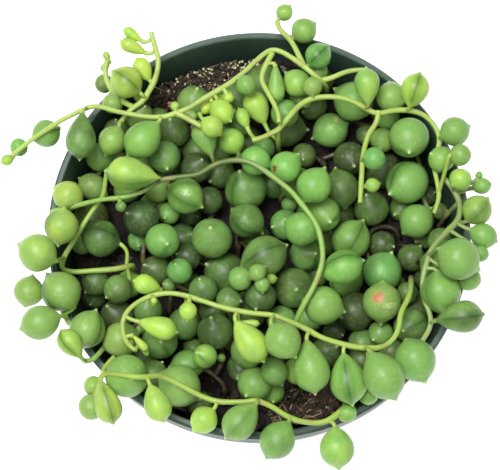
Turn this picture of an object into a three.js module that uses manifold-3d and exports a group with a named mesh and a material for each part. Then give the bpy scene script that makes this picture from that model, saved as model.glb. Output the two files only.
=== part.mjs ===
// A string of pearls (a trailing succulent) growing in a round nursery pot.
// Millimetres, +Z up. The origin is the centre of the pot's flat underside.
import * as THREE from 'three';
import { mergeVertices } from 'three/addons/utils/BufferGeometryUtils.js';
import Module from 'manifold-3d';

const wasm = await Module();
wasm.setup();

// Driving dimensions of the pot
const POT_HEIGHT = 86;
const RIM_RADIUS = 52.9;
const BASE_RADIUS = 37;
const WALL = 1.1;
const BAND_HEIGHT = 11;
const BAND_STEP = 1.8;
const LIP_HEIGHT = 2.2;
const LIP_REACH = 0.7;
const LIP_EDGE = 0.6;
const FLOOR = 1.8;
const POT_SIDES = 30;
const DRAIN_HOLES = 6;
const DRAIN_RADIUS = 3.5;
const DRAIN_CIRCLE = 27;

// Driving dimensions of the soil
const SOIL_DEPTH_BELOW_RIM = 14.5;
const SOIL_RELIEF = 0.9;
const SOIL_RISE_TO_BACK = 0.05;
const SOIL_EDGE_DROP = 1;
const SOIL_SIDES = 20;
const SOIL_RINGS = 4;
const STEM_HOLE_RADIUS = 1.3;
const STEM_ROOT_DEPTH = 6;
const HOLE_FLOOR_GAP = 0.8;

// Driving dimensions of the plant
const STEM_RADIUS = 0.7;
const STEM_SIDES = 4;
const STEM_STEP = 6.4;
const STALK_RADIUS = 0.5;
const STALK_SIDES = 3;
const PEARL_SIDES = 6;
const SMALL_PEARL_SIDES = 5;
const SMALL_PEARL = 8.7;

// Clearances
const FIT_GAP = 0.3;
const STRING_GAP = 0.4;
const SISTER_GAP = -0.6;
const HEIGHT_STEP = 0.25;
const SAMPLE_STEP = 0.8;
const INNER_SINK = 2;
const MOUND = 8;
const NEIGHBOURHOOD = 26;

// The plant is laid out as it is seen from an eye above its front. A place is given by how far it
// lies right of and above a point near the rim's centre in the eye's picture plane, and a height
// over the rim.
const VIEW_TILT = THREE.MathUtils.degToRad(16);
const EYE_DISTANCE = 500;
const pictureCentre = new THREE.Vector3(-0.3, -0.4, POT_HEIGHT);
const viewRight = new THREE.Vector3(1, 0, 0);
const viewUp = new THREE.Vector3(0, Math.cos(VIEW_TILT), Math.sin(VIEW_TILT));
const viewBack = new THREE.Vector3(0, -Math.sin(VIEW_TILT), Math.cos(VIEW_TILT));
const eye = pictureCentre.clone().addScaledVector(viewBack, EYE_DISTANCE);

// Each string has a foot in the soil, stems as [right, up, height] points that start at the foot or
// on an earlier stem, and pearls as [right, up, width, options], from the lowest string to the top
// one. tip and base are the places of a pearl's point and of its stalk, long is its length over its
// width, and lift raises or lowers it from where its stem would hold it. The heights are those of
// a flat plant: the top stems are raised by MOUND in the middle, inner ones are sunk by INNER_SINK.
const strings = [
  {
    name: 'string_inner_west',
    foot: [-27.5, -12.75],
    stems: [[[-28, -9.5, -9], [-29, -6.25, -6], [-28, -2.25, -5.5], [-26.5, 1.25, -5], [-25, 5.75, -5],
      [-22.5, 9.25, -5.5], [-19, 12.25, -6.5], [-16.5, 14.75, -7.5]]],
    pearls: [
      [-29, -2.5, 6, { tip: [-29.75, -3.75] }],
      [-29.5, 3.25, 9.25, {}],
      [-23.75, -2.5, 8.75, { tip: [-22.5, -3.25], lift: 3 }],
      [-23.25, 4.25, 6, { tip: [-23.25, 3.25] }],
      [-25.25, 10.25, 7.5, { tip: [-29.25, 6.5] }],
      [-17, 8.5, 9.25, { tip: [-14, 6] }],
      [-16.25, 16, 8, {}],
    ],
  },
  {
    name: 'string_inner_north_west',
    foot: [-17, 20.25],
    stems: [[[-17.25, 22.75, -8], [-19.5, 23.25, -7.5], [-22.5, 22.5, -7], [-27, 21.25, -7],
      [-31.5, 19.75, -7.5], [-35.75, 18.25, -8], [-39, 15.75, -8], [-40.25, 13.25, -8.5]]],
    pearls: [
      [-21.5, 25.25, 9, {}],
      [-23.25, 19.5, 9, {}],
      [-37.25, 25.25, 8.75, {}],
      [-39.75, 18.75, 7.5, {}],
      [-16, 32.5, 8.75, {}],
      [-41.5, 11.25, 7, { tip: [-45.25, 13.5], long: 1.1 }],
      [-32.5, 10.25, 7, {}],
    ],
  },
  {
    name: 'string_inner_centre_west',
    foot: [-22, -20.25],
    stems: [[[-22, -17.25, -8], [-21.5, -14.75, -7], [-19.5, -11.5, -6], [-16.5, -8.75, -6],
      [-14.5, -6.25, -6.5], [-13.75, -3.5, -7], [-13, 0.75, -7.5], [-11, 4.75, -8.5], [-9, 6.75, -9]]],
    pearls: [
      [-25.75, -9.75, 8, {}],
      [-22.5, -13.5, 3.5, {}],
      [-19.75, -9, 6.5, { tip: [-20.5, -8.25] }],
      [-17, -6.25, 7.5, {}],
      [-13.75, -14.5, 7.5, { tip: [-14.5, -12] }],
      [-10.75, -1.5, 10.25, { tip: [-11.75, 0.75] }],
      [-11.25, 7.75, 8, {}],
      [-8.75, -10.25, 10.5, { tip: [-12.75, -8.25] }],
    ],
  },
  {
    name: 'string_inner_centre',
    foot: [-5, -7.75],
    stems: [
      [[-5, -4.75, -8], [-4.5, -2.25, -6], [-3, -3.75, -4], [-2, -7.75, -1], [-1.5, -10.75, 0],
        [1, -12.25, 0.5], [3.5, -13, 0.5]],
      [[-5, -4.75, -8], [-5.5, -0.25, -8], [-6.25, 4, -8], [-6.5, 7.75, -8]],
    ],
    pearls: [
      [-4, 10.75, 11, { tip: [-4.5, 14.75] }],
      [-2.5, 2.25, 9, { tip: [2, -1.25] }],
      [1.75, -6.25, 10.5, { tip: [7.75, -3.25], long: 1.12 }],
      [-4.25, -11.75, 6, { tip: [-2, -10.5], lift: 5 }],
      [0, -10.25, 4.5, { tip: [2.25, -8.5], lift: 5 }],
      [1, -13.5, 4.25, {}],
      [4, -12, 2.75, { tip: [5.75, -11.75], long: 1.2 }],
      [-7, -17.25, 6.5, { tip: [-4.25, -17.5], lift: 3 }],
      [0.5, -16.75, 8, {}],
    ],
  },
  {
    name: 'string_inner_centre_east',
    foot: [16, 16.5],
    stems: [
      [[16, 18.5, -9], [17, 14.75, -8], [18, 10.25, -7.5], [15.5, 6.5, -7], [12.5, 2.25, -7.5],
        [10.5, -1.75, -8], [10, -6.25, -8], [10.5, -9.75, -8], [8.5, -16.25, -9], [6.75, -19.75, -9.5]],
      [[16, 18.5, -9], [13, 19.5, -9], [10.5, 20.25, -9]],
      [[16, 18.5, -9], [21.75, 20, -8.5], [26.5, 20.75, -8.5]],
    ],
    pearls: [
      [11.5, 18.75, 6.5, {}],
      [22.25, 18, 8.75, {}],
      [20.5, 11, 9.5, { tip: [19, 17] }],
      [17.25, 4, 9, {}],
      [6.5, 1.5, 8, { tip: [3.5, 1] }],
      [7.75, 7, 4.25, { tip: [6.75, 9.5] }],
      [11.5, -5.75, 8.75, {}],
      [9, -14.25, 10.75, { tip: [9.5, -14.5] }],
      [5.75, -21.75, 8, {}],
      [13, -21.75, 7.5, {}],
    ],
  },
  {
    name: 'string_inner_east',
    foot: [35, -2.25],
    stems: [[[34.75, 0.25, -9], [31.75, 1.25, -8.5], [28.5, 0.25, -7.5], [27, -3.5, -7], [28, -7.75, -7],
      [29, -12.25, -7], [29.5, -17.25, -7], [30.5, -21.75, -7.5], [33.5, -24.75, -8], [36, -26, -8.5]]],
    pearls: [
      [29, 6, 9.5, {}],
      [23.5, -1.75, 10.25, { tip: [26.5, 3] }],
      [31.25, -3.5, 7.5, {}],
      [38.5, -5.25, 7.75, { tip: [40.5, -3.75] }],
      [31.25, -9.75, 10, { tip: [33.25, -5.5] }],
      [21.75, -13.5, 9.75, {}],
      [31.75, -18.25, 9.75, { tip: [30.75, -23.25], lift: 2 }],
      [24, -20.25, 10, {}],
      [26, -26.25, 9.5, {}],
      [32, -25.75, 7.5, {}],
      [38, -23, 9, { tip: [36, -24.75] }],
    ],
  },
  {
    name: 'string_inner_north_east',
    foot: [27, 24.25],
    stems: [
      [[27.25, 26.75, -8], [30, 26.75, -6.5], [33, 25.75, -6], [36, 23.75, -6], [39, 20.25, -6.5],
        [40.5, 16.25, -6.5], [40.5, 11.25, -6.5], [41.5, 7.75, -6], [43, 4.25, -7]],
      [[27.25, 26.75, -8], [23, 27.75, -9], [20, 29.75, -9]],
    ],
    pearls: [
      [17.75, 25.75, 9.5, { tip: [12.75, 22.75] }],
      [32.5, 28.5, 7, {}],
      [31, 22.5, 6.5, {}],
      [38.5, 23, 10.5, { tip: [37.5, 19.5] }],
      [37, 12, 11.25, { tip: [32.75, 9.25], long: 1.05 }],
      [40.75, 2.75, 8.75, { tip: [43.25, 5.75] }],
      [44.75, 5, 4.5, {}],
      [22.25, 32.75, 11, { tip: [17.25, 36.75] }],
    ],
  },
  {
    name: 'string_inner_south_west',
    foot: [-21.5, -32.75],
    stems: [[[-22, -30.25, -9], [-24.5, -28.5, -8], [-27, -25.25, -7.5], [-30, -23.25, -7.5],
      [-32.5, -24.75, -7], [-34.5, -27.75, -7], [-35, -31.25, -6], [-33.5, -34.75, -5]]],
    pearls: [
      [-24.5, -27.5, 9, {}],
      [-17, -23, 9, {}],
      [-27.5, -19.5, 7.5, {}],
      [-34, -21, 10, {}],
      [-29.5, -24.75, 2.5, {}],
    ],
  },
  {
    name: 'string_inner_south',
    foot: [-8.25, -40.25],
    stems: [
      [[-8.5, -38.25, -9], [-11, -36.25, -8.5], [-13.25, -34.25, -7.5], [-15.5, -35.25, -7],
        [-16.5, -37.75, -7]],
      [[-11, -36.25, -8.5], [-9, -32.75, -8.5], [-9, -29.75, -9], [-10, -27.25, -9.5]],
    ],
    pearls: [
      [-17.75, -34.25, 8.25, { tip: [-22.25, -34], long: 1.1 }],
      [-13.5, -31.25, 6.25, { tip: [-15.25, -30.25], lift: 4 }],
      [-9.25, -31.75, 2.25, {}],
      [-19.25, -40.25, 11.5, { tip: [-13.75, -42.5] }],
      [-10.75, -24.75, 9.5, {}],
    ],
  },
  {
    name: 'string_inner_south_centre',
    foot: [8.5, -42.25],
    stems: [[[10, -40, -11], [11.75, -38.25, -8], [10.5, -35.75, -7.5], [7, -34.75, -7.5],
      [3, -34.25, -7], [0, -32.75, -7], [-2, -30.25, -7.5]]],
    pearls: [
      [-1, -38.5, 8.75, {}],
      [4.25, -35.5, 7, { tip: [6.5, -39.25] }],
      [2.5, -40.5, 6.5, {}],
      [9.25, -35, 7, {}],
      [-2.5, -29.75, 9, {}],
      [17.25, -30.25, 8, {}],
    ],
  },
  {
    name: 'string_west',
    foot: [-31.5, -11.25],
    stems: [[[-31.5, -8.5, -8], [-34, -9.25, -6], [-38.25, -9.75, -5], [-42.5, -10, -4],
      [-46, -10.25, -3], [-49.25, -9.25, 0], [-48.25, -6, 1], [-46.25, -2.75, 1], [-44.5, 0.25, 1],
      [-42.5, 3.5, 1], [-40.75, 6, 1], [-38.75, 8.75, 0], [-38.25, 12, -1], [-37.75, 15.25, -3]]],
    pearls: [
      [-39.75, -1.75, 9.5, { tip: [-44.5, -0.5], lift: -6 }],
      [-40.75, -13, 7.5, { tip: [-43, -15.25] }],
      [-35.25, -14.75, 7.5, { tip: [-37.75, -16.5] }],
      [-32.5, -13.5, 7.5, { tip: [-34.75, -15.25] }],
      [-54.75, -5.25, 9.5, { base: [-50, -7.75], lift: 5 }],
    ],
  },
  {
    name: 'string_south_west_edge',
    foot: [-37.25, -29.25],
    stems: [[[-37.5, -27.75, -9], [-39.5, -26.75, -5], [-42, -25.25, -2], [-45, -24.25, 1],
      [-47.25, -23.25, 2.5], [-48.5, -21, 2.5], [-49.5, -18, 2], [-50, -14.75, 1.5],
      [-50.25, -11.75, 1]],
    [[-37.5, -27.75, -9], [-39, -29.75, 1], [-41, -32, 3.5], [-42.5, -33, 4], [-43.5, -32.5, 4]]],
    pearls: [
      [-42.5, -23, 10, { tip: [-40.5, -19.75], lift: 4 }],
      [-34.75, -27, 9.25, { base: [-38.75, -29.25] }],
      [-45.75, -28, 6.75, { base: [-43.75, -32.25], long: 1.25 }],
      [-54.75, -23, 9, { tip: [-59.25, -25], base: [-49.75, -21.75], long: 1.08 }],
      [-50.75, -14.75, 10.75, { tip: [-53, -10.5], lift: 5 }],
      [-57.25, -14.75, 7.5, { tip: [-56.25, -10.75] }],
    ],
  },
  {
    name: 'string_middle',
    foot: [8.5, -27.75],
    stems: [[[8.75, -25, -5], [9.5, -22.75, -1], [10.5, -20.25, 1], [11.75, -17.75, 2],
      [13.5, -14.75, 3], [14.75, -12, 3.5], [15.75, -9.25, 4], [16.25, -6, 4], [15.75, -2.25, 4],
      [15, 0.75, 4], [13.5, 3.5, 4], [11.25, 6.25, 4], [8.5, 9.75, 3.5], [5.5, 12.25, 3],
      [2.5, 14.5, 2.5], [-0.5, 16.5, 2], [-4, 17.75, 2], [-7.75, 17.5, 2], [-10.75, 16.75, 2],
      [-13, 15.25, 2], [-15.25, 14, 2], [-18.25, 13.75, 2], [-21.5, 13.25, 2], [-24.5, 12.75, 2],
      [-27, 11, 2.5], [-29, 9.75, 3], [-31.5, 9, 3.5], [-34.5, 8.25, 4], [-38.25, 8, 4],
      [-42, 7.25, 3.5], [-45.75, 6.25, 3], [-49.5, 5.5, 3], [-52, 4.75, 3.5]]],
    pearls: [
      [-47, 9, 8, { base: [-43.75, 6.5] }],
      [-49.25, 0.75, 8.75, { base: [-48.5, 5], lift: 2 }],
      [-31.75, 15, 9.25, { tip: [-39.5, 15.5], base: [-25.75, 13.75], long: 1.35 }],
      [-34.25, 6, 2.75, {}],
      [-13.25, 23.25, 6.75, { base: [-11.25, 18], long: 1.35 }],
      [-6.75, 22, 6.75, { base: [-4.75, 19.25] }],
      [-0.25, 17.5, 7.75, { tip: [3.25, 16.25], lift: 2 }],
      [7.25, 16.25, 8, { tip: [9.25, 19.75], base: [3.75, 14] }],
      [14.25, 11.75, 9, { tip: [17.5, 16.25], base: [11.75, 6.75] }],
      [10.5, 0.75, 8.5, { tip: [7, 3.75], base: [14.5, -0.5] }],
      [21.25, -9, 9, { tip: [27, -7.75], base: [16, -11.25], long: 1.15 }],
      [16.75, -18.75, 9.75, { tip: [21.75, -20.25], base: [11.5, -17.25] }],
    ],
  },
  {
    name: 'string_north',
    foot: [5.25, 18.25],
    stems: [
      [[5.25, 20.25, -8], [5, 22.75, -2], [5, 25.25, 2]],
      [[5, 25.25, 2], [3, 24.25, 2], [1, 23.25, 2], [-1.5, 22.75, 2]],
      [[5, 25.25, 2], [6.75, 27.25, 2.5],
        [8.75, 29.75, 3], [10.5, 31.5, 3], [13, 33, 3.5], [15.5, 33.5, 4], [19.25, 33.5, 4.5],
        [23, 32.75, 4.5], [26, 31.25, 4], [29.5, 29.25, 3.5], [32, 29.75, 4], [34.5, 30.25, 4],
        [37, 30.25, 4.5], [39.75, 29.75, 4.5], [42.5, 28.25, 4], [44.5, 25.75, 3.5], [45.5, 22.75, 3],
        [44.5, 19.25, 2], [44, 15.75, 1], [45, 11.5, 0], [45.25, 8.25, -1], [44, 4.5, -3]],
      [[29.5, 29.25, 3.5], [29.75, 27, 3], [28, 25, 2.5], [27, 22.25, 2], [26.25, 18.75, 2],
        [26, 15.25, 2], [25.75, 11.25, 2], [25.5, 7, 2]],
    ],
    pearls: [
      [-3.75, 28.25, 4, { base: [-1.75, 23.75], long: 1.35 }],
      [0.5, 31, 6.75, { tip: [-0.75, 34.75], base: [3.25, 26.25], long: 1.3 }],
      [9.5, 38, 7.25, { base: [13, 34] }],
      [6.5, 29.5, 7.25, {}],
      [33.25, 33, 8, {}],
      [10.25, 33.25, 5.5, { lift: -4 }],
      [12.75, 36.25, 5, { lift: -4 }],
      [27.25, 36.25, 6.75, { tip: [28.25, 40.5], base: [28.75, 30.5], long: 1.35 }],
      [39.25, 35.5, 7.5, { tip: [41, 39.25], base: [38.5, 31], long: 1.15 }],
      [49.5, 25, 7.5, { base: [46, 23.75] }],
      [46.75, 18, 7.25, { tip: [43, 19.25] }],
      [50.75, 17.75, 6, {}],
      [28.75, 11.5, 3.75, { tip: [30.75, 12], base: [26.5, 11] }],
      [29.25, 18, 5.75, {}],
    ],
  },
  {
    name: 'string_upper',
    foot: [17.25, 32.25],
    stems: [
      [[17, 36, -2], [16, 37.25, 3], [14, 39, 5], [11.75, 41, 5.5], [9.25, 42.75, 5.5],
        [6.5, 44.5, 6], [3.75, 45.5, 6], [1.5, 44.25, 6], [-1, 42, 6], [-4.5, 38.75, 6],
        [-8, 36.25, 6], [-10.75, 34.75, 6], [-14.5, 32.5, 6], [-17.75, 30.5, 6], [-20.5, 29.5, 6],
        [-23.25, 28.5, 6], [-27.5, 28.5, 6], [-32, 29.25, 6], [-35.75, 30, 6], [-39, 31, 5.5],
        [-41.5, 31.25, 5], [-44, 30.25, 4.5], [-46.5, 29, 4], [-49.5, 27.5, 3], [-53, 25.25, 1],
        [-56.75, 22.75, -1], [-59.25, 20.75, -2], [-61.5, 19, -3]],
      [[11.75, 41, 5.5], [10.25, 43.75, 5.5], [8.75, 46.75, 5.5], [7.25, 48.75, 5], [5.5, 50.25, 4.5],
        [4.75, 52.25, 4]],
      [[3.75, 45.5, 6], [2.25, 42, 5.5], [0.75, 38, 5], [2.25, 35, 5], [4, 31.75, 5],
        [5.25, 28.75, 5.5], [5.25, 27, 5.5]],
      [[16, 37.25, 3], [18.5, 38.25, 4], [21.75, 39.75, 4.5], [25, 40.25, 5], [27.5, 40.25, 5]],
      [[-20.5, 29.5, 6], [-17, 27.75, 5.5], [-14, 26, 5]],
    ],
    pearls: [
      [-62.75, 17.75, 3, { tip: [-64.25, 17], long: 1.15 }],
      [-59.75, 21, 4.75, {}],
      [-53.25, 24.25, 7.25, { tip: [-56.75, 22.75] }],
      [-44.25, 23.5, 8.25, { tip: [-44.25, 17], base: [-43.5, 29.25], long: 1.35 }],
      [-29.75, 22.75, 9.25, { base: [-24.5, 27.5], long: 1.15 }],
      [-20.75, 31.25, 2.5, {}],
      [-16.25, 28.75, 2.25, {}],
      [-9, 29.75, 6.25, { tip: [-5.75, 29.75], base: [-9.75, 34], long: 1.1 }],
      [-11.75, 26.25, 5.75, { tip: [-14.5, 28.75] }],
      [-7.25, 33.25, 2.75, {}],
      [-2.75, 36.25, 5.25, {}],
      [4.5, 36.75, 4.75, { base: [4.25, 43.75], long: 2 }],
      [6.75, 54.75, 4.5, { base: [4.75, 52.5] }],
      [11.75, 50.25, 6.5, { tip: [14.75, 52.5], base: [8.25, 48] }],
      [15.25, 44, 6.75, { tip: [18.25, 47] }],
      [15.25, 40, 5, {}],
    ],
  },
  {
    name: 'string_young_shoot',
    foot: [-29.5, 27.5],
    stems: [
      [[-29.5, 30.5, -8], [-28, 33, -2], [-27.25, 35, 4]],
      [[-27.25, 35, 4], [-25.75, 37.75, 5.5], [-25, 40.75, 7], [-25, 43.75, 8], [-26, 46.75, 8.5],
        [-26.75, 49.75, 9]],
      [[-27.25, 35, 4], [-29, 32.25, 3], [-31.25, 30.75, 2.5], [-33.25, 28.75, 2], [-34.75, 26.5, 1.5]],
      [[-31.25, 30.75, 2.5], [-35, 33.25, 2], [-37.5, 36.75, 2.5], [-38.25, 40.25, 3],
        [-37.75, 42.75, 4]],
    ],
    pearls: [
      [-31.25, 49, 3, { tip: [-33.5, 51], base: [-28, 47], long: 1.9 }],
      [-31.25, 46, 4, { tip: [-34.75, 47.5], base: [-27.5, 44], long: 1.8 }],
      [-28.75, 40.5, 5, { tip: [-30.5, 42.75], base: [-27, 37], long: 1.3 }],
      [-33.25, 37.5, 8.25, { tip: [-36.75, 40.75], base: [-29.5, 35] }],
      [-29.25, 33.5, 2.25, {}],
      [-36.5, 32.5, 5.5, {}],
      [-38.5, 36.75, 5, {}],
      [-38.25, 41, 2.25, { long: 1.5 }],
      [-37.75, 43.5, 2, { tip: [-38.5, 45], long: 1.5 }],
      [-36.5, 22.25, 7.5, { base: [-34.75, 26] }],
    ],
  },
  {
    name: 'string_lower',
    foot: [38.25, -13.75],
    stems: [[[38.25, -11.75, -4], [38.25, -14.25, -2], [37.75, -16.5, 0], [36.5, -18.75, 1.5],
      [35.5, -21.25, 3], [35.25, -24, 4], [34.25, -26.5, 5], [32.25, -28.5, 5.5], [29.75, -29.25, 6],
      [26.75, -29.25, 6], [23, -28.75, 6], [19.25, -27.75, 6], [15.5, -26.5, 6], [13, -25, 6],
      [10, -23.5, 6.5], [7, -22.25, 7], [3.75, -21, 7], [0.5, -20.75, 7], [-3.25, -20.25, 7],
      [-7.25, -19.5, 7], [-10.75, -18.5, 7], [-14.5, -17.25, 7], [-17.75, -16.25, 7],
      [-21.5, -15.5, 7], [-25, -15.75, 7], [-27.5, -16.5, 7], [-30, -17.75, 6.5], [-32.5, -19.75, 6],
      [-33.75, -22, 6], [-34, -24.5, 5.5], [-33.25, -27, 5], [-32.25, -28.75, 4.5],
      [-30.75, -29.75, 4]]],
    pearls: [
      [-29.5, -28, 2.25, { tip: [-27.5, -30.75], base: [-32.5, -25.5], long: 2.3 }],
      [-25, -24, 6, { tip: [-20.5, -25], base: [-31.25, -22], long: 1.6 }],
      [-27.75, -13.5, 5.25, { tip: [-32.25, -13.75], base: [-26.5, -15.75], long: 1.35 }],
      [-26, -17.5, 1.75, {}],
      [-17.5, -20.25, 4.5, { tip: [-19, -22.5], base: [-18.5, -17.25] }],
      [-2, -27.75, 8.5, { base: [-6.5, -21.25], long: 1.35 }],
      [-2.25, -23, 2, { tip: [0.5, -22.75], base: [-6, -22.25], long: 2.6 }],
      [6.5, -27.75, 9, { tip: [10, -31.25], base: [3.75, -23] }],
      [13.25, -34.25, 9.5, { tip: [15.5, -40], base: [13.5, -27.5], long: 1.3 }],
      [22.5, -36.5, 9.5, { tip: [23.25, -42.75], base: [21, -29.75], long: 1.25 }],
      [32.25, -36.5, 10.75, { tip: [36, -42.75], base: [29.5, -30.5], long: 1.15 }],
      [26.75, -41, 5.5, { lift: -3 }],
      [26, -32.5, 7, { lift: -5 }],
      [37.25, -14.75, 5.5, {}],
    ],
  },
  {
    name: 'string_front',
    foot: [21.25, -42],
    stems: [[[21.75, -40.75, -6], [22.25, -42.25, -1], [21.25, -44.5, 2.5], [19.5, -46, 3.5],
      [17.5, -47.5, 4], [15, -48, 4], [11.75, -47.75, 4], [8.5, -47, 4.5], [6.25, -45.75, 4.5],
      [3.75, -44, 5], [1.5, -43, 5], [-0.5, -42.25, 5], [-3, -42.75, 5], [-6, -42.75, 5],
      [-9.5, -42.75, 5], [-12.5, -42, 5], [-15.25, -40.75, 5.5], [-18, -39.25, 6],
      [-20.75, -37.75, 6.5], [-23.25, -36.5, 7.5], [-25.25, -36, 9], [-27.5, -36.5, 11],
      [-30.5, -36.5, 12.5], [-34, -36, 12], [-37, -35.75, 10], [-39, -35.5, 8], [-38.5, -34.25, 7],
      [-37.25, -32.75, 6], [-36, -31.5, 5]]],
    pearls: [
      [-31.75, -36.25, 11.5, {}],
      [-37.75, -43, 7, { tip: [-35.75, -48.5], base: [-39.25, -37], long: 1.5 }],
      [-41.75, -44.25, 6.5, {}],
      [-41.25, -39.75, 5, {}],
      [-25.25, -43.25, 7, { tip: [-23.75, -47.25], base: [-27, -38.5], long: 1.3 }],
      [-13.75, -47.5, 6.75, { tip: [-16.25, -50], base: [-10.75, -44] }],
      [-4.5, -47.75, 8.5, { tip: [-8.5, -51.75], base: [-1, -43.5], long: 1.2 }],
      [4.75, -52.5, 8.75, { tip: [2.75, -57], base: [8, -48.5], long: 1.1 }],
      [19.75, -54.5, 8.5, { tip: [20, -59.25], base: [19, -48.75], long: 1.12 }],
      [22.5, -44.5, 4.75, { tip: [24.25, -42.75] }],
    ],
  },
  {
    name: 'string_east_edge',
    foot: [45.5, -1.75],
    stems: [
      [[45.25, 0.75, -8], [46.5, 3.25, -3], [48.25, 5.25, 0], [50.25, 7.25, 2.5]],
      [[50.25, 7.25, 2.5], [49.25, 9.75, 2], [47.75, 11.75, 2], [46.25, 13.5, 1.5]],
      [[50.25, 7.25, 2.5], [50.5, 4.5, 3],
        [49.5, 2, 3], [47.75, 0.5, 3], [46, -1.5, 3], [44.25, -3.25, 3], [43, -5.25, 3],
        [42.25, -7.75, 3], [41.5, -10.25, 3], [41, -13.5, 2.5], [41.5, -17.25, 2.5], [43, -20.75, 3],
        [43.25, -23.5, 3], [42, -26, 3], [40.5, -28.25, 3]],
    ],
    pearls: [
      [50.75, 13, 5.75, {}],
      [56, 11.25, 4.25, { tip: [58.25, 11.75], long: 1.15 }],
      [55.25, 14, 2, { tip: [55.5, 15] }],
      [55, 5.5, 7.5, { tip: [57.75, 8.5] }],
      [56.5, -1.25, 6.5, { base: [53, 0.25], long: 1.1 }],
      [50.5, -7.25, 10.5, { base: [45.75, -4.75], lift: 6 }],
      [53, -12, 6, { lift: 2 }],
      [55.75, -5.75, 4.25, {}],
      [39.5, -32.75, 10.5, { tip: [44.25, -37.25], base: [40.25, -28.25], lift: 1 }],
      [44.5, -15.75, 11, { tip: [46.5, -21] }],
      [50.75, -21.5, 8.5, { tip: [56.25, -20.75], base: [45, -22.25], long: 1.3 }],
    ],
  },
];

// Small things that lie on the soil, by the same kind of place: [right, up, width]
const perliteGrains = [
  [-15.25, 37.75, 1.6], [-11.5, 38.75, 1.8], [-8.25, 39, 1.6], [7, 38.75, 2.4], [17, -44.25, 2],
];
const dryFlakes = [
  { name: 'dry_flake_back', at: [-18.5, 33.5], width: 2, length: 4, turn: 80 },
  { name: 'dry_flake_left', at: [-40.25, 15.25], width: 1.6, length: 3.2, turn: 60 },
  { name: 'dry_leaf', at: [-34, -7.25], width: 5.2, length: 6, turn: 20 },
];
const barkChip = { name: 'bark_chip', at: [-22, 30.5], width: 3.5, length: 7, thickness: 2, turn: 15 };

const soilTop = POT_HEIGHT - SOIL_DEPTH_BELOW_RIM;

// The point on the eye's line through a place in the picture, at a height over the rim
function place(right, up, height) {
  const seen = pictureCentre.clone().addScaledVector(viewRight, right).addScaledVector(viewUp, up);
  const line = seen.sub(eye);
  return eye.clone().addScaledVector(line, (POT_HEIGHT + height - eye.z) / line.z);
}

// How far the soil's top lies over its mean height: higher at the back, with low humps
function soilRelief(x, y) {
  return SOIL_RISE_TO_BACK * y + SOIL_RELIEF * Math.sin(0.2 * x + 1.1) * Math.cos(0.17 * y - 0.4);
}

// How far the flats of the pot's inside are from its middle at a height
function insideRadius(z) {
  const [top, bottom] = [RIM_RADIUS - LIP_REACH - WALL, BASE_RADIUS - WALL];
  const corner = bottom + (top - bottom) * (z - FLOOR) / (POT_HEIGHT - FLOOR);
  return corner * Math.cos(Math.PI / POT_SIDES);
}

// A geometry as a closed solid: shared vertices merged, flat triangles dropped, faces pointing out
function toSolid(geometry) {
  const bare = geometry.index ? geometry.toNonIndexed() : geometry.clone();
  for (const name of Object.keys(bare.attributes)) {
    if (name !== 'position') bare.deleteAttribute(name);
  }
  const merged = mergeVertices(bare, 1e-4);
  const points = merged.attributes.position.array;
  const kept = [];
  for (let i = 0; i < merged.index.count; i += 3) {
    const [a, b, c] = [merged.index.getX(i), merged.index.getX(i + 1), merged.index.getX(i + 2)];
    if (a !== b && b !== c && c !== a) kept.push(a, b, c);
  }
  const mesh = new wasm.Mesh({
    numProp: 3,
    vertProperties: new Float32Array(points),
    triVerts: new Uint32Array(signedVolume(points, kept) < 0 ? kept.reverse() : kept),
  });
  return new wasm.Manifold(mesh);
}

function signedVolume(points, triangles) {
  let volume = 0;
  for (let i = 0; i < triangles.length; i += 3) {
    const [a, b, c] = [0, 1, 2].map((k) => new THREE.Vector3().fromArray(points, 3 * triangles[i + k]));
    volume += a.dot(b.cross(c)) / 6;
  }
  return volume;
}

function toMesh(name, solid, material) {
  const { vertProperties, triVerts } = solid.getMesh();
  const geometry = new THREE.BufferGeometry();
  geometry.setAttribute('position', new THREE.BufferAttribute(new Float32Array(vertProperties), 3));
  geometry.setIndex(new THREE.BufferAttribute(new Uint32Array(triVerts), 1));
  geometry.computeVertexNormals();
  const mesh = new THREE.Mesh(geometry, material);
  mesh.name = name;
  return mesh;
}

function polygon(radius, sides) {
  const corners = [];
  for (let i = 0; i < sides; i += 1) {
    const angle = 2 * Math.PI * i / sides;
    corners.push(new THREE.Vector2(radius * Math.cos(angle), radius * Math.sin(angle)));
  }
  return new THREE.Shape(corners);
}

function tube(curve, radius, sides, steps) {
  return toSolid(new THREE.ExtrudeGeometry(polygon(radius, sides), {
    steps, bevelEnabled: false, extrudePath: curve,
  }));
}

// A profile of [radius, height] points turned about the Z axis
function turned(profile, sides) {
  const points = profile.map(([radius, height]) => new THREE.Vector2(radius, height));
  return new THREE.LatheGeometry(points, sides).rotateX(Math.PI / 2);
}

// The two ends of a pearl, measured along its axis from its middle, in half widths
const TIP_REACH = 1.2;
const BASE_REACH = 1.06;

function baseReach(long) {
  return BASE_REACH + 2 * (long - 1);
}

// A berry-like leaf along +Z: narrow at the stalk, wide in the middle, with a short point.
// The first two rows of its outline are the end of its stalk.
function pearlOutline(pearl) {
  const { half, long } = pearl;
  const back = baseReach(long) * half;
  return [
    [0, -back - 0.5], [STALK_RADIUS, -back - 0.1], [STALK_RADIUS + 0.1 * half, -0.93 * back],
    [0.95 * half, -0.3 * back], [0.86 * half, 0.55 * half], [0, TIP_REACH * half],
  ];
}

// What a pearl fills, as balls along its axis: [distance, radius] in half widths
function pearlBalls(pearl) {
  const back = baseReach(pearl.long);
  return [[0.05, 1.02], [-0.5 * back, 0.78], [-0.85 * back, 0.4], [0.85, 0.4]].map(([along, radius]) => ({
    centre: pearl.centre.clone().addScaledVector(pearl.axis, along * pearl.half),
    radius: radius * pearl.half,
  }));
}

// The balls that stand for what is already laid, each with the number of its string
const laid = [];

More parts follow.
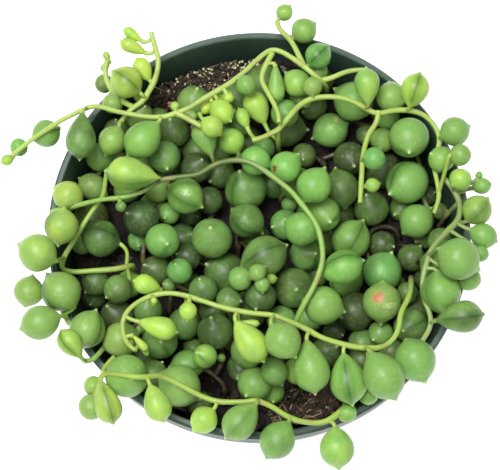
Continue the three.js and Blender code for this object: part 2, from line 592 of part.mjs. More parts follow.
function distanceToPot(ball) {
  const { centre, radius } = ball;
  const out = Math.hypot(centre.x, centre.y);
  const lip = Math.hypot(out - (RIM_RADIUS - 1), centre.z - (POT_HEIGHT - 1)) - radius - 1.35;
  if (centre.z > POT_HEIGHT + 1) return lip;
  if (out > RIM_RADIUS) return Math.min(lip, out - radius - RIM_RADIUS);
  const wall = insideRadius(centre.z - radius) - out - radius;
  const soil = centre.z - radius - soilTop - soilRelief(centre.x, centre.y) - 0.5;
  return Math.min(wall, soil);
}

function isClear(balls, obstacles, owner, sisterGap, ownStemGap) {
  return balls.every((ball) => distanceToPot(ball) > FIT_GAP && obstacles.every((other) => {
    const ownGap = other.isPearl ? sisterGap : ownStemGap;
    const gap = other.owner === owner ? ownGap : STRING_GAP;
    const reach = Math.max(0, ball.radius + other.radius + gap);
    return ball.centre.distanceToSquared(other.centre) >= reach * reach;
  }));
}

// A pearl that is covered by one of a higher string in the picture lies under it
function keepsOrder(pearl, higher) {
  return higher.every((other) => {
    const across = Math.hypot(pearl.right - other.right, pearl.up - other.up);
    const overlap = pearl.half + other.half - across;
    if (overlap < 0.3 * Math.min(pearl.half, other.half)) return true;
    return pearl.height < other.height;
  });
}

function viewVector(right, up, back) {
  return new THREE.Vector3()
    .addScaledVector(viewRight, right).addScaledVector(viewUp, up).addScaledVector(viewBack, back)
    .normalize();
}

// The way a pearl points: towards its seen tip, away from its seen base, or away from its stem
function pearlAxis(pearl, nearest) {
  const reach = pearl.half * pearl.long;
  if (pearl.tip && pearl.base) {
    const [right, up] = [pearl.tip[0] - pearl.base[0], pearl.tip[1] - pearl.base[1]];
    const seen = Math.hypot(right, up);
    const full = Math.max(seen, 2 * reach);
    return viewVector(right, up, Math.sqrt(full * full - seen * seen) * 0.6);
  }
  if (pearl.tip) {
    const [right, up] = [pearl.tip[0] - pearl.right, pearl.tip[1] - pearl.up];
    const seen = Math.hypot(right, up);
    return viewVector(right, up, Math.sqrt(Math.max(0, reach * reach - seen * seen)));
  }
  if (pearl.base) {
    return viewVector(pearl.right - pearl.base[0], pearl.up - pearl.base[1], -0.15 * reach);
  }
  const [right, up] = [pearl.right - nearest.right, pearl.up - nearest.up];
  const across = Math.hypot(right, up);
  const steep = Math.max(crossing(pearl, across), pearl.stands ? across : 0.5 * across);
  return viewVector(right, up, pearl.stands ? steep : -steep);
}

// How far the middle of a pearl has to keep from a stem that crosses it in the picture
function crossing(pearl, across) {
  return across < pearl.half ? Math.sqrt(pearl.half ** 2 - across ** 2) : 0;
}

function stemSteps(curve) {
  return Math.ceil(curve.getLength() / STEM_STEP);
}

// Points at small steps along the straight lengths of a stem's tube
function alongTube(curve) {
  const corners = curve.getSpacedPoints(stemSteps(curve));
  return corners.slice(1).flatMap((corner, i) => {
    const count = Math.ceil(corner.distanceTo(corners[i]) / SAMPLE_STEP);
    return Array.from({ length: count }, (_, k) => corners[i].clone().lerp(corner, (k + 1) / count));
  });
}

function nearestPoint(points, target) {
  return points.reduce((best, point) => (
    point.distanceTo(target) < best.distanceTo(target) ? point : best));
}

// The short strings of the shaded layer
function isInner(string) {
  return string.name.includes('inner');
}

// How far a stem lies over its point's height: the top strings mound over the middle of the pot,
// and the inner ones creep over the soil
function raised(string, right, up) {
  const inwards = Math.max(0, 1 - (right ** 2 + up ** 2) / RIM_RADIUS ** 2);
  return isInner(string) ? -INNER_SINK : MOUND * inwards;
}

// Makes a string's stems as curves. The first one starts straight up out of its hole in the soil,
// and the others start on the tube of an earlier one.
function makeStemCurves(string) {
  const footHeight = -SOIL_DEPTH_BELOW_RIM;
  const foot = place(string.foot[0], string.foot[1], footHeight);
  string.footPoint = foot;
  string.curves = [];
  string.stems.forEach((points, number) => {
    const route = points.map(([right, up, height]) => (
      place(right, up, height + raised(string, right, up))));
    if (number === 0) {
      const up = new THREE.Vector3(0, 0, 1);
      route.unshift(foot.clone().addScaledVector(up, -STEM_ROOT_DEPTH), foot.clone(),
        foot.clone().addScaledVector(up, 1.5));
    } else {
      route[0] = nearestPoint(string.curves.flatMap(alongTube), route[0]).clone();
    }
    string.curves.push(new THREE.CatmullRomCurve3(route, false, 'centripetal'));
  });
}

// Where a point is seen: right of and above the rim's centre in the picture plane
function seenAt(point) {
  const line = point.clone().sub(eye);
  const scale = EYE_DISTANCE / -line.dot(viewBack);
  return { right: line.dot(viewRight) * scale, up: line.dot(viewUp) * scale };
}

function layBall(centre, radius, owner, isPearl) {
  laid.push({ centre, radius, owner, isPearl, ...seenAt(centre) });
}

// Those of a list's things that are seen close enough to a pearl to touch it or its stalk
function seenNear(list, pearl) {
  return list.filter((thing) => (
    Math.hypot(thing.right - pearl.right, thing.up - pearl.up) < NEIGHBOURHOOD));
}

function layStems(string, owner) {
  makeStemCurves(string);
  string.samples = [];
  for (const curve of string.curves) {
    const points = alongTube(curve);
    points.forEach((point) => layBall(point, STEM_RADIUS, owner, false));
    const carrying = points.slice(0, -1).filter((point) => point.z > soilTop + 2.5);
    string.samples.push(...carrying.map((point) => ({ point, ...seenAt(point) })));
  }
}

function nearestSample(samples, pearl) {
  let best = samples[0];
  let bestDistance = Infinity;
  for (const sample of samples) {
    const target = pearl.base ?? [pearl.right, pearl.up];
    const distance = Math.hypot(sample.right - target[0], sample.up - target[1]);
    if (distance < bestDistance) [best, bestDistance] = [sample, distance];
  }
  return best;
}

// The height at which a pearl starts from its stem: beside it, or under it where it crosses it.
// Those of the creeping inner stems stand up over them.
function startHeight(pearl, nearest) {
  const across = Math.hypot(pearl.right - nearest.right, pearl.up - nearest.up);
  const under = crossing(pearl, across);
  const away = under > 0 ? under + STEM_RADIUS + 0.2 : 0.4;
  return nearest.point.z - POT_HEIGHT + (pearl.stands ? away : -away) + pearl.lift;
}

function neckPoint(pearl) {
  return pearl.centre.clone().addScaledVector(pearl.axis, -baseReach(pearl.long) * pearl.half);
}

function stalkBalls(root, neck, pearl) {
  const count = Math.max(2, Math.ceil(root.distanceTo(neck) / SAMPLE_STEP));
  const balls = [];
  for (let i = 0; i <= count; i += 1) {
    const centre = root.clone().lerp(neck, i / count);
    const outside = centre.distanceTo(pearl.centre) > 0.9 * pearl.half;
    if (outside) balls.push({ centre, radius: STALK_RADIUS + 0.1 });
  }
  return balls;
}

// The nearest place on the string's own stems that a clear stalk can reach
function findStalk(pearl, samples, obstacles, owner) {
  const neck = neckPoint(pearl);
  const byDistance = samples
    .map((sample) => ({ point: sample.point, distance: sample.point.distanceTo(neck) }))
    .sort((a, b) => a.distance - b.distance);
  for (let i = 0; i < Math.min(byDistance.length, 24); i += 2) {
    const root = byDistance[i].point;
    const balls = stalkBalls(root, neck, pearl);
    if (isClear(balls, obstacles, owner, -2 * STALK_RADIUS, -2)) return { root, balls };
  }
  return null;
}

function setHeight(pearl, height, nearest) {
  pearl.height = height;
  const middle = place(pearl.right, pearl.up, height);
  pearl.axis = pearlAxis(pearl, nearest);
  const shift = (baseReach(pearl.long) - TIP_REACH) / 2 * pearl.half;
  pearl.centre = middle.addScaledVector(pearl.axis, shift);
}

// Heights in the order they are tried: the hanging height first, then further and further from it
function heightsToTry(start, search) {
  const heights = [start];
  for (let step = HEIGHT_STEP; step <= search; step += HEIGHT_STEP) {
    heights.push(start + step, start - step);
  }
  return heights;
}

// What is tried for a pearl in turn: its width as a share, how far it may move aside and in height,
// whether it has to stay under the pearls that cover it, and its gap to its own stems
const attempts = [
  { share: 1, aside: 0, search: 5, ordered: true, ownStemGap: 0 },
  { share: 1, aside: 0.8, search: 5, ordered: true, ownStemGap: 0 },
  { share: 0.96, aside: 0.8, search: 5, ordered: true, ownStemGap: -1.5 },
  { share: 1, aside: 0.8, search: 6, ordered: false, ownStemGap: -1.5 },
  { share: 0.93, aside: 1.2, search: 6, ordered: true, ownStemGap: -2 },
  { share: 0.93, aside: 1.2, search: 7, ordered: false, ownStemGap: -2 },
  { share: 0.87, aside: 1.5, search: 8, ordered: false, ownStemGap: -2 },
  { share: 0.8, aside: 2, search: 9, ordered: false, ownStemGap: -3 },
  { share: 0.7, aside: 2, search: 10, ordered: false, ownStemGap: -4 },
];
const sidewaysSteps = [[0, 0], [1, 0], [-1, 0], [0, 1], [0, -1]];

function tryPearl(pearl, surroundings, attempt) {
  const { samples, obstacles, higher, owner } = surroundings;
  const nearest = nearestSample(samples, pearl);
  pearl.half = attempt.share * pearl.width / 2;
  const start = startHeight(pearl, nearest);
  const [right, up] = [pearl.right, pearl.up];
  for (const height of heightsToTry(start, attempt.search)) {
    for (const [stepRight, stepUp] of attempt.aside > 0 ? sidewaysSteps : [[0, 0]]) {
      pearl.right = right + attempt.aside * stepRight;
      pearl.up = up + attempt.aside * stepUp;
      setHeight(pearl, height, nearest);
      const balls = pearlBalls(pearl);
      if (attempt.ordered && !keepsOrder(pearl, higher)) continue;
      if (!isClear(balls, obstacles, owner, SISTER_GAP, attempt.ownStemGap)) continue;
      const stalk = findStalk(pearl, samples, obstacles, owner);
      if (!stalk) continue;
      pearl.root = stalk.root;
      balls.forEach((ball) => layBall(ball.centre, ball.radius, owner, true));
      stalk.balls.forEach((ball) => layBall(ball.centre, ball.radius, owner, false));
      return true;
    }
  }
  [pearl.right, pearl.up] = [right, up];
  return false;
}

function layPearl(pearl, string, owner, higher) {
  const surroundings = {
    owner,
    samples: seenNear(string.samples, pearl),
    obstacles: seenNear(laid, pearl),
    higher: seenNear(higher, pearl),
  };
  attempts.some((attempt) => tryPearl(pearl, surroundings, attempt));
}

// Lays all stems, then the pearls, from the top string down and each string's widest pearls first
function layPlant() {
  strings.forEach(layStems);
  const higher = [];
  for (const [owner, string] of [...strings.entries()].reverse()) {
    const pearls = string.pearls.map(([right, up, width, options]) => ({
      right, up, width, long: 1, lift: 0, stands: isInner(string), ...options,
    }));
    pearls.sort((a, b) => b.width - a.width);
    pearls.forEach((pearl) => layPearl(pearl, string, owner, higher));
    string.laidPearls = pearls.filter((pearl) => pearl.root);
    higher.push(...string.laidPearls);
  }
}

// The solids of one pearl. Its stalk is the drawn-out end of its own outline where the stem lies
// behind it, and otherwise a short peg from its middle to the stem, unless the stem runs through it.
function pearlSolids(pearl) {
  const neck = neckPoint(pearl);
  const stalk = pearl.root.clone().sub(neck);
  const hasStalk = -stalk.dot(pearl.axis) > 0.5 * stalk.length() && stalk.length() > 0.5;
  const sides = pearl.width < SMALL_PEARL ? SMALL_PEARL_SIDES : PEARL_SIDES;
  const geometry = turned(pearlOutline(pearl), sides);
  pairStalkCorners(geometry, sides);
  const turn = new THREE.Quaternion().setFromUnitVectors(new THREE.Vector3(0, 0, 1), pearl.axis);
  geometry.applyQuaternion(turn).translate(...pearl.centre.toArray());
  if (hasStalk) drawOutStalk(geometry, neck, stalk, pearl);
  const solids = [toSolid(geometry)];
  if (!hasStalk && pearl.root.distanceTo(pearl.centre) > 0.45 * pearl.half) {
    solids.push(tube(new THREE.LineCurve3(pearl.root, pearl.centre), STALK_RADIUS, STALK_SIDES, 1));
  }
  return solids;
}

// Gives a pearl's stalk half as many corners round it as the pearl has
function pairStalkCorners(geometry, sides) {
  const corners = geometry.attributes.position;
  const rows = corners.count / (sides + 1);
  for (let side = 0; side <= sides; side += 1) {
    const pair = side % sides - side % sides % 2;
    const [to, from] = [side * rows + 1, pair * rows + 1];
    corners.setXYZ(to, corners.getX(from), corners.getY(from), corners.getZ(from));
  }
}

// Moves the stalk rows of a pearl's outline so that they end in the middle of its stem
function drawOutStalk(geometry, neck, stalk, pearl) {
  const rows = pearlOutline(pearl).length;
  const corners = geometry.attributes.position;
  const corner = new THREE.Vector3();
  const nearStem = Math.max(0.3, 1 - 1.3 * STEM_RADIUS / stalk.length());
  const neckRow = neck.clone().addScaledVector(pearl.axis, -0.1);
  for (let i = 0; i < corners.count; i += 1) {
    const row = i % rows;
    if (row > 1) continue;
    corner.fromBufferAttribute(corners, i).sub(neckRow);
    if (row === 0) corner.copy(pearl.root);
    else corner.add(neck).addScaledVector(stalk, nearStem);
    corners.setXYZ(i, corner.x, corner.y, corner.z);
  }
}

// One leafy stem: its stems, stalks and pearls fused into one solid, without pinholes at its forks
const SMALLEST_VOLUME = 0.01;

function stringSolid(string) {
  const stems = string.curves.map((curve) => (
    tube(curve, STEM_RADIUS, STEM_SIDES, stemSteps(curve))));
  const whole = wasm.Manifold.union([...stems, ...string.laidPearls.flatMap(pearlSolids)]);
  return wasm.Manifold.compose(whole.decompose().filter((part) => part.volume() > SMALLEST_VOLUME));
}

function potSolid() {
  const bandFoot = POT_HEIGHT - BAND_HEIGHT;
  const lipFoot = POT_HEIGHT - LIP_HEIGHT;
  const bandRadius = RIM_RADIUS - LIP_REACH;
  const wallTop = bandRadius - BAND_STEP;
  const profile = [
    [0, 0], [BASE_RADIUS - 1, 0], [BASE_RADIUS, 1], [wallTop, bandFoot], [bandRadius, bandFoot + 1],
    [bandRadius, lipFoot], [RIM_RADIUS, lipFoot + LIP_EDGE], [RIM_RADIUS, POT_HEIGHT - LIP_EDGE],
    [RIM_RADIUS - LIP_EDGE, POT_HEIGHT], [bandRadius - WALL + LIP_EDGE / 2, POT_HEIGHT],
    [bandRadius - WALL, POT_HEIGHT - LIP_EDGE / 2], [BASE_RADIUS - WALL, FLOOR], [0, FLOOR],
  ];
  let pot = toSolid(turned(profile, POT_SIDES));
  const drill = new THREE.CylinderGeometry(DRAIN_RADIUS, DRAIN_RADIUS, 3 * FLOOR, 12).rotateX(Math.PI / 2);
  for (let i = 0; i < DRAIN_HOLES; i += 1) {
    const angle = 2 * Math.PI * i / DRAIN_HOLES;
    const hole = drill.clone()
      .translate(DRAIN_CIRCLE * Math.cos(angle), DRAIN_CIRCLE * Math.sin(angle), FLOOR / 2);
    pot = pot.subtract(toSolid(hole));
  }
  return pot;
}

// The peat with its uneven top, a little lower where it meets the wall
function soilGeometry() {
  const floor = FLOOR + FIT_GAP;
  const footRadius = insideRadius(floor) - FIT_GAP;
  const topRadius = insideRadius(soilTop) - FIT_GAP;
  const profile = [[0, floor], [footRadius, floor], [topRadius, soilTop - SOIL_EDGE_DROP]];
  for (let ring = SOIL_RINGS - 1; ring > 0; ring -= 1) {
    profile.push([topRadius * ring / SOIL_RINGS, soilTop]);
  }
  profile.push([0, soilTop]);
  const geometry = turned(profile, SOIL_SIDES);
  const corners = geometry.attributes.position;
  for (let i = 0; i < corners.count; i += 1) {
    const [x, y, z] = [corners.getX(i), corners.getY(i), corners.getZ(i)];
    if (z < soilTop - SOIL_EDGE_DROP - 0.1) continue;
    const raised = z + soilRelief(x, y);
    const isEdge = z < soilTop - 0.1;
    const spread = isEdge ? (insideRadius(raised) - FIT_GAP) / topRadius : 1;
    corners.setXYZ(i, x * spread, y * spread, raised);
  }
  return geometry;
}

// The point of the soil's top that the eye sees at a place in the picture
function seenOnGround(ground, right, up) {
  const line = new THREE.Raycaster(eye, place(right, up, 0).sub(eye).normalize());
  return line.intersectObject(ground)[0].point;
}

// The soil with a hole for every stem and a socket for every piece that lies on it
function soilSolid(litter) {
  let soil = toSolid(soilGeometry());
  const depth = STEM_ROOT_DEPTH + HOLE_FLOOR_GAP + 4;
  const drill = new THREE.CylinderGeometry(STEM_HOLE_RADIUS, STEM_HOLE_RADIUS, depth, 6)
    .rotateX(Math.PI / 2);
  for (const { footPoint } of strings) {
    const low = soilTop - STEM_ROOT_DEPTH - HOLE_FLOOR_GAP;
    soil = soil.subtract(toSolid(drill.clone().translate(footPoint.x, footPoint.y, low + depth / 2)));
  }
  for (const { socket } of litter) soil = soil.subtract(socket);
  return soil;
}

// A piece that lies half sunk in the soil, with the socket it leaves there
function bedded(ground, name, geometry, at, turn, material) {
  const spot = seenOnGround(ground, at[0], at[1]);
  const size = new THREE.Vector3();
  geometry.computeBoundingBox();
  geometry.boundingBox.getSize(size);
  const grow = [size.x, size.y, size.z].map((side) => (side + 2 * FIT_GAP) / side);
  const height = spot.z + 0.15 * size.z;
  const set = (shape) => shape
    .rotateZ(THREE.MathUtils.degToRad(turn)).translate(spot.x, spot.y, height);
  const socket = toSolid(set(geometry.clone().scale(...grow)));
  layBall(new THREE.Vector3(spot.x, spot.y, height), Math.max(...size.toArray()) / 2, -1, false);
  return { mesh: toMesh(name, toSolid(set(geometry.clone())), material), socket };
}

function grainGeometry(width, seed) {
  return new THREE.IcosahedronGeometry(width / 2, 0).rotateX(seed).rotateY(2 * seed).scale(1, 0.85, 0.8);
}

// A pointed leaf outline, cut from a plate
function flakeGeometry(width, length, thickness) {
  const outline = new THREE.Shape();
  outline.moveTo(-length / 2, 0);
  outline.quadraticCurveTo(-0.1 * length, -0.65 * width, length / 2, -0.1 * width);
  outline.quadraticCurveTo(0.1 * length, 0.6 * width, -length / 2, 0);
  return new THREE.ExtrudeGeometry(outline, {
    depth: thickness, steps: 1, curveSegments: 4, bevelEnabled: false,
  }).translate(0, 0, -thickness / 2);
}

function paint(colour, roughness) {
  return new THREE.MeshStandardMaterial({ color: colour, roughness, metalness: 0 });
}

const potPlastic = paint('#3d5346', 0.45);
const peat = paint('#241b14', 0.95);
peat.side = THREE.DoubleSide;
const perlite = paint('#e4e1d6', 0.9);
const bark = paint('#5a4132', 0.9);
const dryTissue = paint('#c99a6c', 0.8);
const greenFlesh = paint('#8fc463', 0.35);
const deepFlesh = paint('#5f8a48', 0.35);

const FLAKE_THICKNESS = 0.7;
const ground = new THREE.Mesh(soilGeometry(), peat);
const grains = perliteGrains.map(([right, up, width], i) => {
  const shape = grainGeometry(width, i + 0.4);
  return bedded(ground, `perlite_grain_${i + 1}`, shape, [right, up], 40 * i, perlite);
});
const flakes = dryFlakes.map(({ name, at, width, length, turn }) => {
  const shape = flakeGeometry(width, length, FLAKE_THICKNESS);
  return bedded(ground, name, shape, at, turn, dryTissue);
});
const chipShape = new THREE.BoxGeometry(barkChip.length, barkChip.width, barkChip.thickness);
const chip = bedded(ground, barkChip.name, chipShape, barkChip.at, barkChip.turn, bark);
const litter = [...grains, ...flakes, chip];
layPlant();

const plant = new THREE.Group();
plant.add(toMesh('pot', potSolid(), potPlastic));
plant.add(toMesh('soil', soilSolid(litter), peat));
for (const { mesh } of litter) plant.add(mesh);
for (const string of strings) {
  const flesh = string.name.includes('inner') ? deepFlesh : greenFlesh;
  plant.add(toMesh(string.name, stringSolid(string), flesh));
}

export default plant;
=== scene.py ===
# %% [markdown]
# # A potted string of pearls
# Seen from above, a round dark green nursery pot is nearly hidden under thin trailing stems that
# carry bead-like leaves. The young strings on top are lime green and the shaded leaves under
# them are dark, so the plant is built in the same two layers. Every leafy stem is one piece.

# %% Load the frame and a way to measure its parts
import bpy
import bmesh
import math
import random
import numpy as np
from mathutils import Matrix, Vector


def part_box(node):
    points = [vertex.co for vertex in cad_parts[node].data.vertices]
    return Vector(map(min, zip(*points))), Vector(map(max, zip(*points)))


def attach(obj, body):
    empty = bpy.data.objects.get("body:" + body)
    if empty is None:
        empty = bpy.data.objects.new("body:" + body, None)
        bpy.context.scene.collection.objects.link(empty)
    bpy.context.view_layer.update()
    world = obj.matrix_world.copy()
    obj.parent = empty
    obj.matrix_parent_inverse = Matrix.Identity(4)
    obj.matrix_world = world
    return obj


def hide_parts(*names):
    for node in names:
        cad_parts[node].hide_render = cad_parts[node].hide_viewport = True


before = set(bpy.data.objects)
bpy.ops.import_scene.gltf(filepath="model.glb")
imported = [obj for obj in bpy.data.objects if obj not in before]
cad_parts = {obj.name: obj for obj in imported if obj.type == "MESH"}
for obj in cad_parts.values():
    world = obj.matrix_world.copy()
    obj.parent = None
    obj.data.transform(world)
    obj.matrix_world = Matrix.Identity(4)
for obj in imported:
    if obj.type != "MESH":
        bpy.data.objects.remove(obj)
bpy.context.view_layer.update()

# %% [markdown]
# ## The plan of the plant
# The plant grew without a rule, so its plan is read off. A place is given in millimetres right of and
# above a point near the rim's centre, as seen from an eye 500 mm away, 16 degrees in front of straight
# above. A string is (name, foot, stems, pearls), and its foot is where it leaves the soil. A stem is a
# row of points, whose third number is a height over the rim, before the plant's mound is added.
# A pearl is (right, up, width, tone), with options where it needs them. Its tone runs from 2, deep and
# dark, to 9, young and lime; the dark end is partly painted shade, for the shade that falls on the deep
# leaves. tip and base are where its point and its stalk show, long is its length over its width, lift
# moves it from where its stem would hold it, and roll turns its window towards the eye, in degrees.

# %% Write down the strings from the lowest to the top one
STRINGS = []


def note_string(name, foot, stems, pearls):
    """Adds a string to the plan, over the ones that are noted already."""
    STRINGS.append({"name": name, "foot": foot, "stems": stems, "pearls": pearls})


note_string("string_inner_west", (-27.5, -12.75), [
    [(-28, -9.5, -9), (-29, -6.25, -6), (-28, -2.25, -5.5), (-26.5, 1.25, -5), (-25, 5.75, -5),
     (-22.5, 9.25, -5.5), (-19, 12.25, -6.5), (-16.5, 14.75, -7.5)],
], [
    (-29, -2.5, 6, 5, {"tip": (-29.75, -3.75)}), (-29.5, 3.25, 9.25, 2),
    (-23.75, -2.5, 8.75, 6, {"tip": (-22.5, -3.25), "lift": 3}),
    (-23.25, 4.25, 6, 6, {"tip": (-23.25, 3.25)}),
    (-25.25, 10.25, 7.5, 5.5, {"tip": (-29.25, 6.5)}),
    (-17, 8.5, 9.25, 6, {"tip": (-14, 6), "roll": 20}), (-16.25, 16, 8, 2.2),
])
note_string("string_inner_north_west", (-17, 20.25), [
    [(-17.25, 22.75, -8), (-19.5, 23.25, -7.5), (-22.5, 22.5, -7), (-27, 21.25, -7),
     (-31.5, 19.75, -7.5), (-35.75, 18.25, -8), (-39, 15.75, -8), (-40.25, 13.25, -8.5)],
], [
    (-21.5, 25.25, 9, 3), (-23.25, 19.5, 9, 4), (-37.25, 25.25, 8.75, 3), (-39.75, 18.75, 7.5, 6),
    (-16, 32.5, 8.75, 4.5, {"roll": 180}),
    (-41.5, 11.25, 7, 5, {"tip": (-45.25, 13.5), "long": 1.1}), (-32.5, 10.25, 7, 6),
])
note_string("string_inner_centre_west", (-22, -20.25), [
    [(-22, -17.25, -8), (-21.5, -14.75, -7), (-19.5, -11.5, -6), (-16.5, -8.75, -6),
     (-14.5, -6.25, -6.5), (-13.75, -3.5, -7), (-13, 0.75, -7.5), (-11, 4.75, -8.5),
     (-9, 6.75, -9)],
], [
    (-25.75, -9.75, 8, 2.5), (-22.5, -13.5, 3.5, 4), (-19.75, -9, 6.5, 5, {"tip": (-20.5, -8.25)}),
    (-17, -6.25, 7.5, 2), (-13.75, -14.5, 7.5, 3.5, {"tip": (-14.5, -12), "roll": -10}),
    (-10.75, -1.5, 10.25, 4, {"tip": (-11.75, 0.75), "roll": 60}), (-11.25, 7.75, 8, 2),
    (-8.75, -10.25, 10.5, 3, {"tip": (-12.75, -8.25), "roll": -25}),
])
note_string("string_inner_centre", (-5, -7.75), [
    [(-5, -4.75, -8), (-4.5, -2.25, -6), (-3, -3.75, -4), (-2, -7.75, -1), (-1.5, -10.75, 0),
     (1, -12.25, 0.5), (3.5, -13, 0.5)],
    [(-5, -4.75, -8), (-5.5, -0.25, -8), (-6.25, 4, -8), (-6.5, 7.75, -8)],
], [
    (-4, 10.75, 11, 4, {"tip": (-4.5, 14.75), "roll": -50}),
    (-2.5, 2.25, 9, 3.5, {"tip": (2, -1.25), "roll": 35}),
    (1.75, -6.25, 10.5, 4, {"tip": (7.75, -3.25), "long": 1.12, "roll": -15}),
    (-4.25, -11.75, 6, 6, {"tip": (-2, -10.5), "lift": 5}),
    (0, -10.25, 4.5, 6, {"tip": (2.25, -8.5), "lift": 5}), (1, -13.5, 4.25, 8.5),
    (4, -12, 2.75, 8, {"tip": (5.75, -11.75), "long": 1.2}),
    (-7, -17.25, 6.5, 3.5, {"tip": (-4.25, -17.5), "lift": 3, "roll": -30}), (0.5, -16.75, 8, 2.5),
])
note_string("string_inner_centre_east", (16, 16.5), [
    [(16, 18.5, -9), (17, 14.75, -8), (18, 10.25, -7.5), (15.5, 6.5, -7), (12.5, 2.25, -7.5),
     (10.5, -1.75, -8), (10, -6.25, -8), (10.5, -9.75, -8), (8.5, -16.25, -9),
     (6.75, -19.75, -9.5)],
    [(16, 18.5, -9), (13, 19.5, -9), (10.5, 20.25, -9)],
    [(16, 18.5, -9), (21.75, 20, -8.5), (26.5, 20.75, -8.5)],
], [
    (11.5, 18.75, 6.5, 3), (22.25, 18, 8.75, 2), (20.5, 11, 9.5, 3, {"tip": (19, 17)}),
    (17.25, 4, 9, 6), (6.5, 1.5, 8, 4.5, {"tip": (3.5, 1)}),
    (7.75, 7, 4.25, 5, {"tip": (6.75, 9.5)}), (11.5, -5.75, 8.75, 4),
    (9, -14.25, 10.75, 3, {"tip": (9.5, -14.5)}), (5.75, -21.75, 8, 4.5), (13, -21.75, 7.5, 5),
])
note_string("string_inner_east", (35, -2.25), [
    [(34.75, 0.25, -9), (31.75, 1.25, -8.5), (28.5, 0.25, -7.5), (27, -3.5, -7), (28, -7.75, -7),
     (29, -12.25, -7), (29.5, -17.25, -7), (30.5, -21.75, -7.5), (33.5, -24.75, -8),
     (36, -26, -8.5)],
], [
    (29, 6, 9.5, 3), (23.5, -1.75, 10.25, 6, {"tip": (26.5, 3), "roll": 10}),
    (31.25, -3.5, 7.5, 2), (38.5, -5.25, 7.75, 3, {"tip": (40.5, -3.75)}),
    (31.25, -9.75, 10, 4.5, {"tip": (33.25, -5.5)}), (21.75, -13.5, 9.75, 7),
    (31.75, -18.25, 9.75, 5, {"tip": (30.75, -23.25), "lift": 2}), (24, -20.25, 10, 2),
    (26, -26.25, 9.5, 3), (32, -25.75, 7.5, 4), (38, -23, 9, 4, {"tip": (36, -24.75), "roll": 0}),
])
note_string("string_inner_north_east", (27, 24.25), [
    [(27.25, 26.75, -8), (30, 26.75, -6.5), (33, 25.75, -6), (36, 23.75, -6), (39, 20.25, -6.5),
     (40.5, 16.25, -6.5), (40.5, 11.25, -6.5), (41.5, 7.75, -6), (43, 4.25, -7)],
    [(27.25, 26.75, -8), (23, 27.75, -9), (20, 29.75, -9)],
], [
    (17.75, 25.75, 9.5, 5, {"tip": (12.75, 22.75)}), (32.5, 28.5, 7, 7), (31, 22.5, 6.5, 6),
    (38.5, 23, 10.5, 5.5, {"tip": (37.5, 19.5)}),
    (37, 12, 11.25, 5.5, {"tip": (32.75, 9.25), "long": 1.05, "roll": 60}),
    (40.75, 2.75, 8.75, 5.5, {"tip": (43.25, 5.75)}), (44.75, 5, 4.5, 3),
    (22.25, 32.75, 11, 6, {"tip": (17.25, 36.75)}),
])
note_string("string_inner_south_west", (-21.5, -32.75), [
    [(-22, -30.25, -9), (-24.5, -28.5, -8), (-27, -25.25, -7.5), (-30, -23.25, -7.5),
     (-32.5, -24.75, -7), (-34.5, -27.75, -7), (-35, -31.25, -6), (-33.5, -34.75, -5)],
], [
    (-24.5, -27.5, 9, 4.5), (-17, -23, 9, 4.5), (-27.5, -19.5, 7.5, 4), (-34, -21, 10, 2),
    (-29.5, -24.75, 2.5, 5),
])
note_string("string_inner_south", (-8.25, -40.25), [
    [(-8.5, -38.25, -9), (-11, -36.25, -8.5), (-13.25, -34.25, -7.5), (-15.5, -35.25, -7),
     (-16.5, -37.75, -7)],
    [(-11, -36.25, -8.5), (-9, -32.75, -8.5), (-9, -29.75, -9), (-10, -27.25, -9.5)],
], [
    (-17.75, -34.25, 8.25, 5.5, {"tip": (-22.25, -34), "long": 1.1, "roll": -20}),
    (-13.5, -31.25, 6.25, 6.5, {"tip": (-15.25, -30.25), "lift": 4, "roll": -20}),
    (-9.25, -31.75, 2.25, 7), (-19.25, -40.25, 11.5, 5, {"tip": (-13.75, -42.5)}),
    (-10.75, -24.75, 9.5, 3),
])
note_string("string_inner_south_centre", (8.5, -42.25), [
    [(10, -40, -11), (11.75, -38.25, -8), (10.5, -35.75, -7.5), (7, -34.75, -7.5), (3, -34.25, -7),
     (0, -32.75, -7), (-2, -30.25, -7.5)],
], [
    (-1, -38.5, 8.75, 5.5), (4.25, -35.5, 7, 5, {"tip": (6.5, -39.25)}), (2.5, -40.5, 6.5, 7.5),
    (9.25, -35, 7, 8), (-2.5, -29.75, 9, 4.5), (17.25, -30.25, 8, 2.5),
])
note_string("string_west", (-31.5, -11.25), [
    [(-31.5, -8.5, -8), (-34, -9.25, -6), (-38.25, -9.75, -5), (-42.5, -10, -4), (-46, -10.25, -3),
     (-49.25, -9.25, 0), (-48.25, -6, 1), (-46.25, -2.75, 1), (-44.5, 0.25, 1), (-42.5, 3.5, 1),
     (-40.75, 6, 1), (-38.75, 8.75, 0), (-38.25, 12, -1), (-37.75, 15.25, -3)],
], [
    (-39.75, -1.75, 9.5, 3, {"tip": (-44.5, -0.5), "lift": -6, "roll": 30}),
    (-40.75, -13, 7.5, 2.5, {"tip": (-43, -15.25)}),
    (-35.25, -14.75, 7.5, 3.5, {"tip": (-37.75, -16.5)}),
    (-32.5, -13.5, 7.5, 7.5, {"tip": (-34.75, -15.25)}),
    (-54.75, -5.25, 9.5, 7, {"base": (-50, -7.75), "lift": 5}),
])
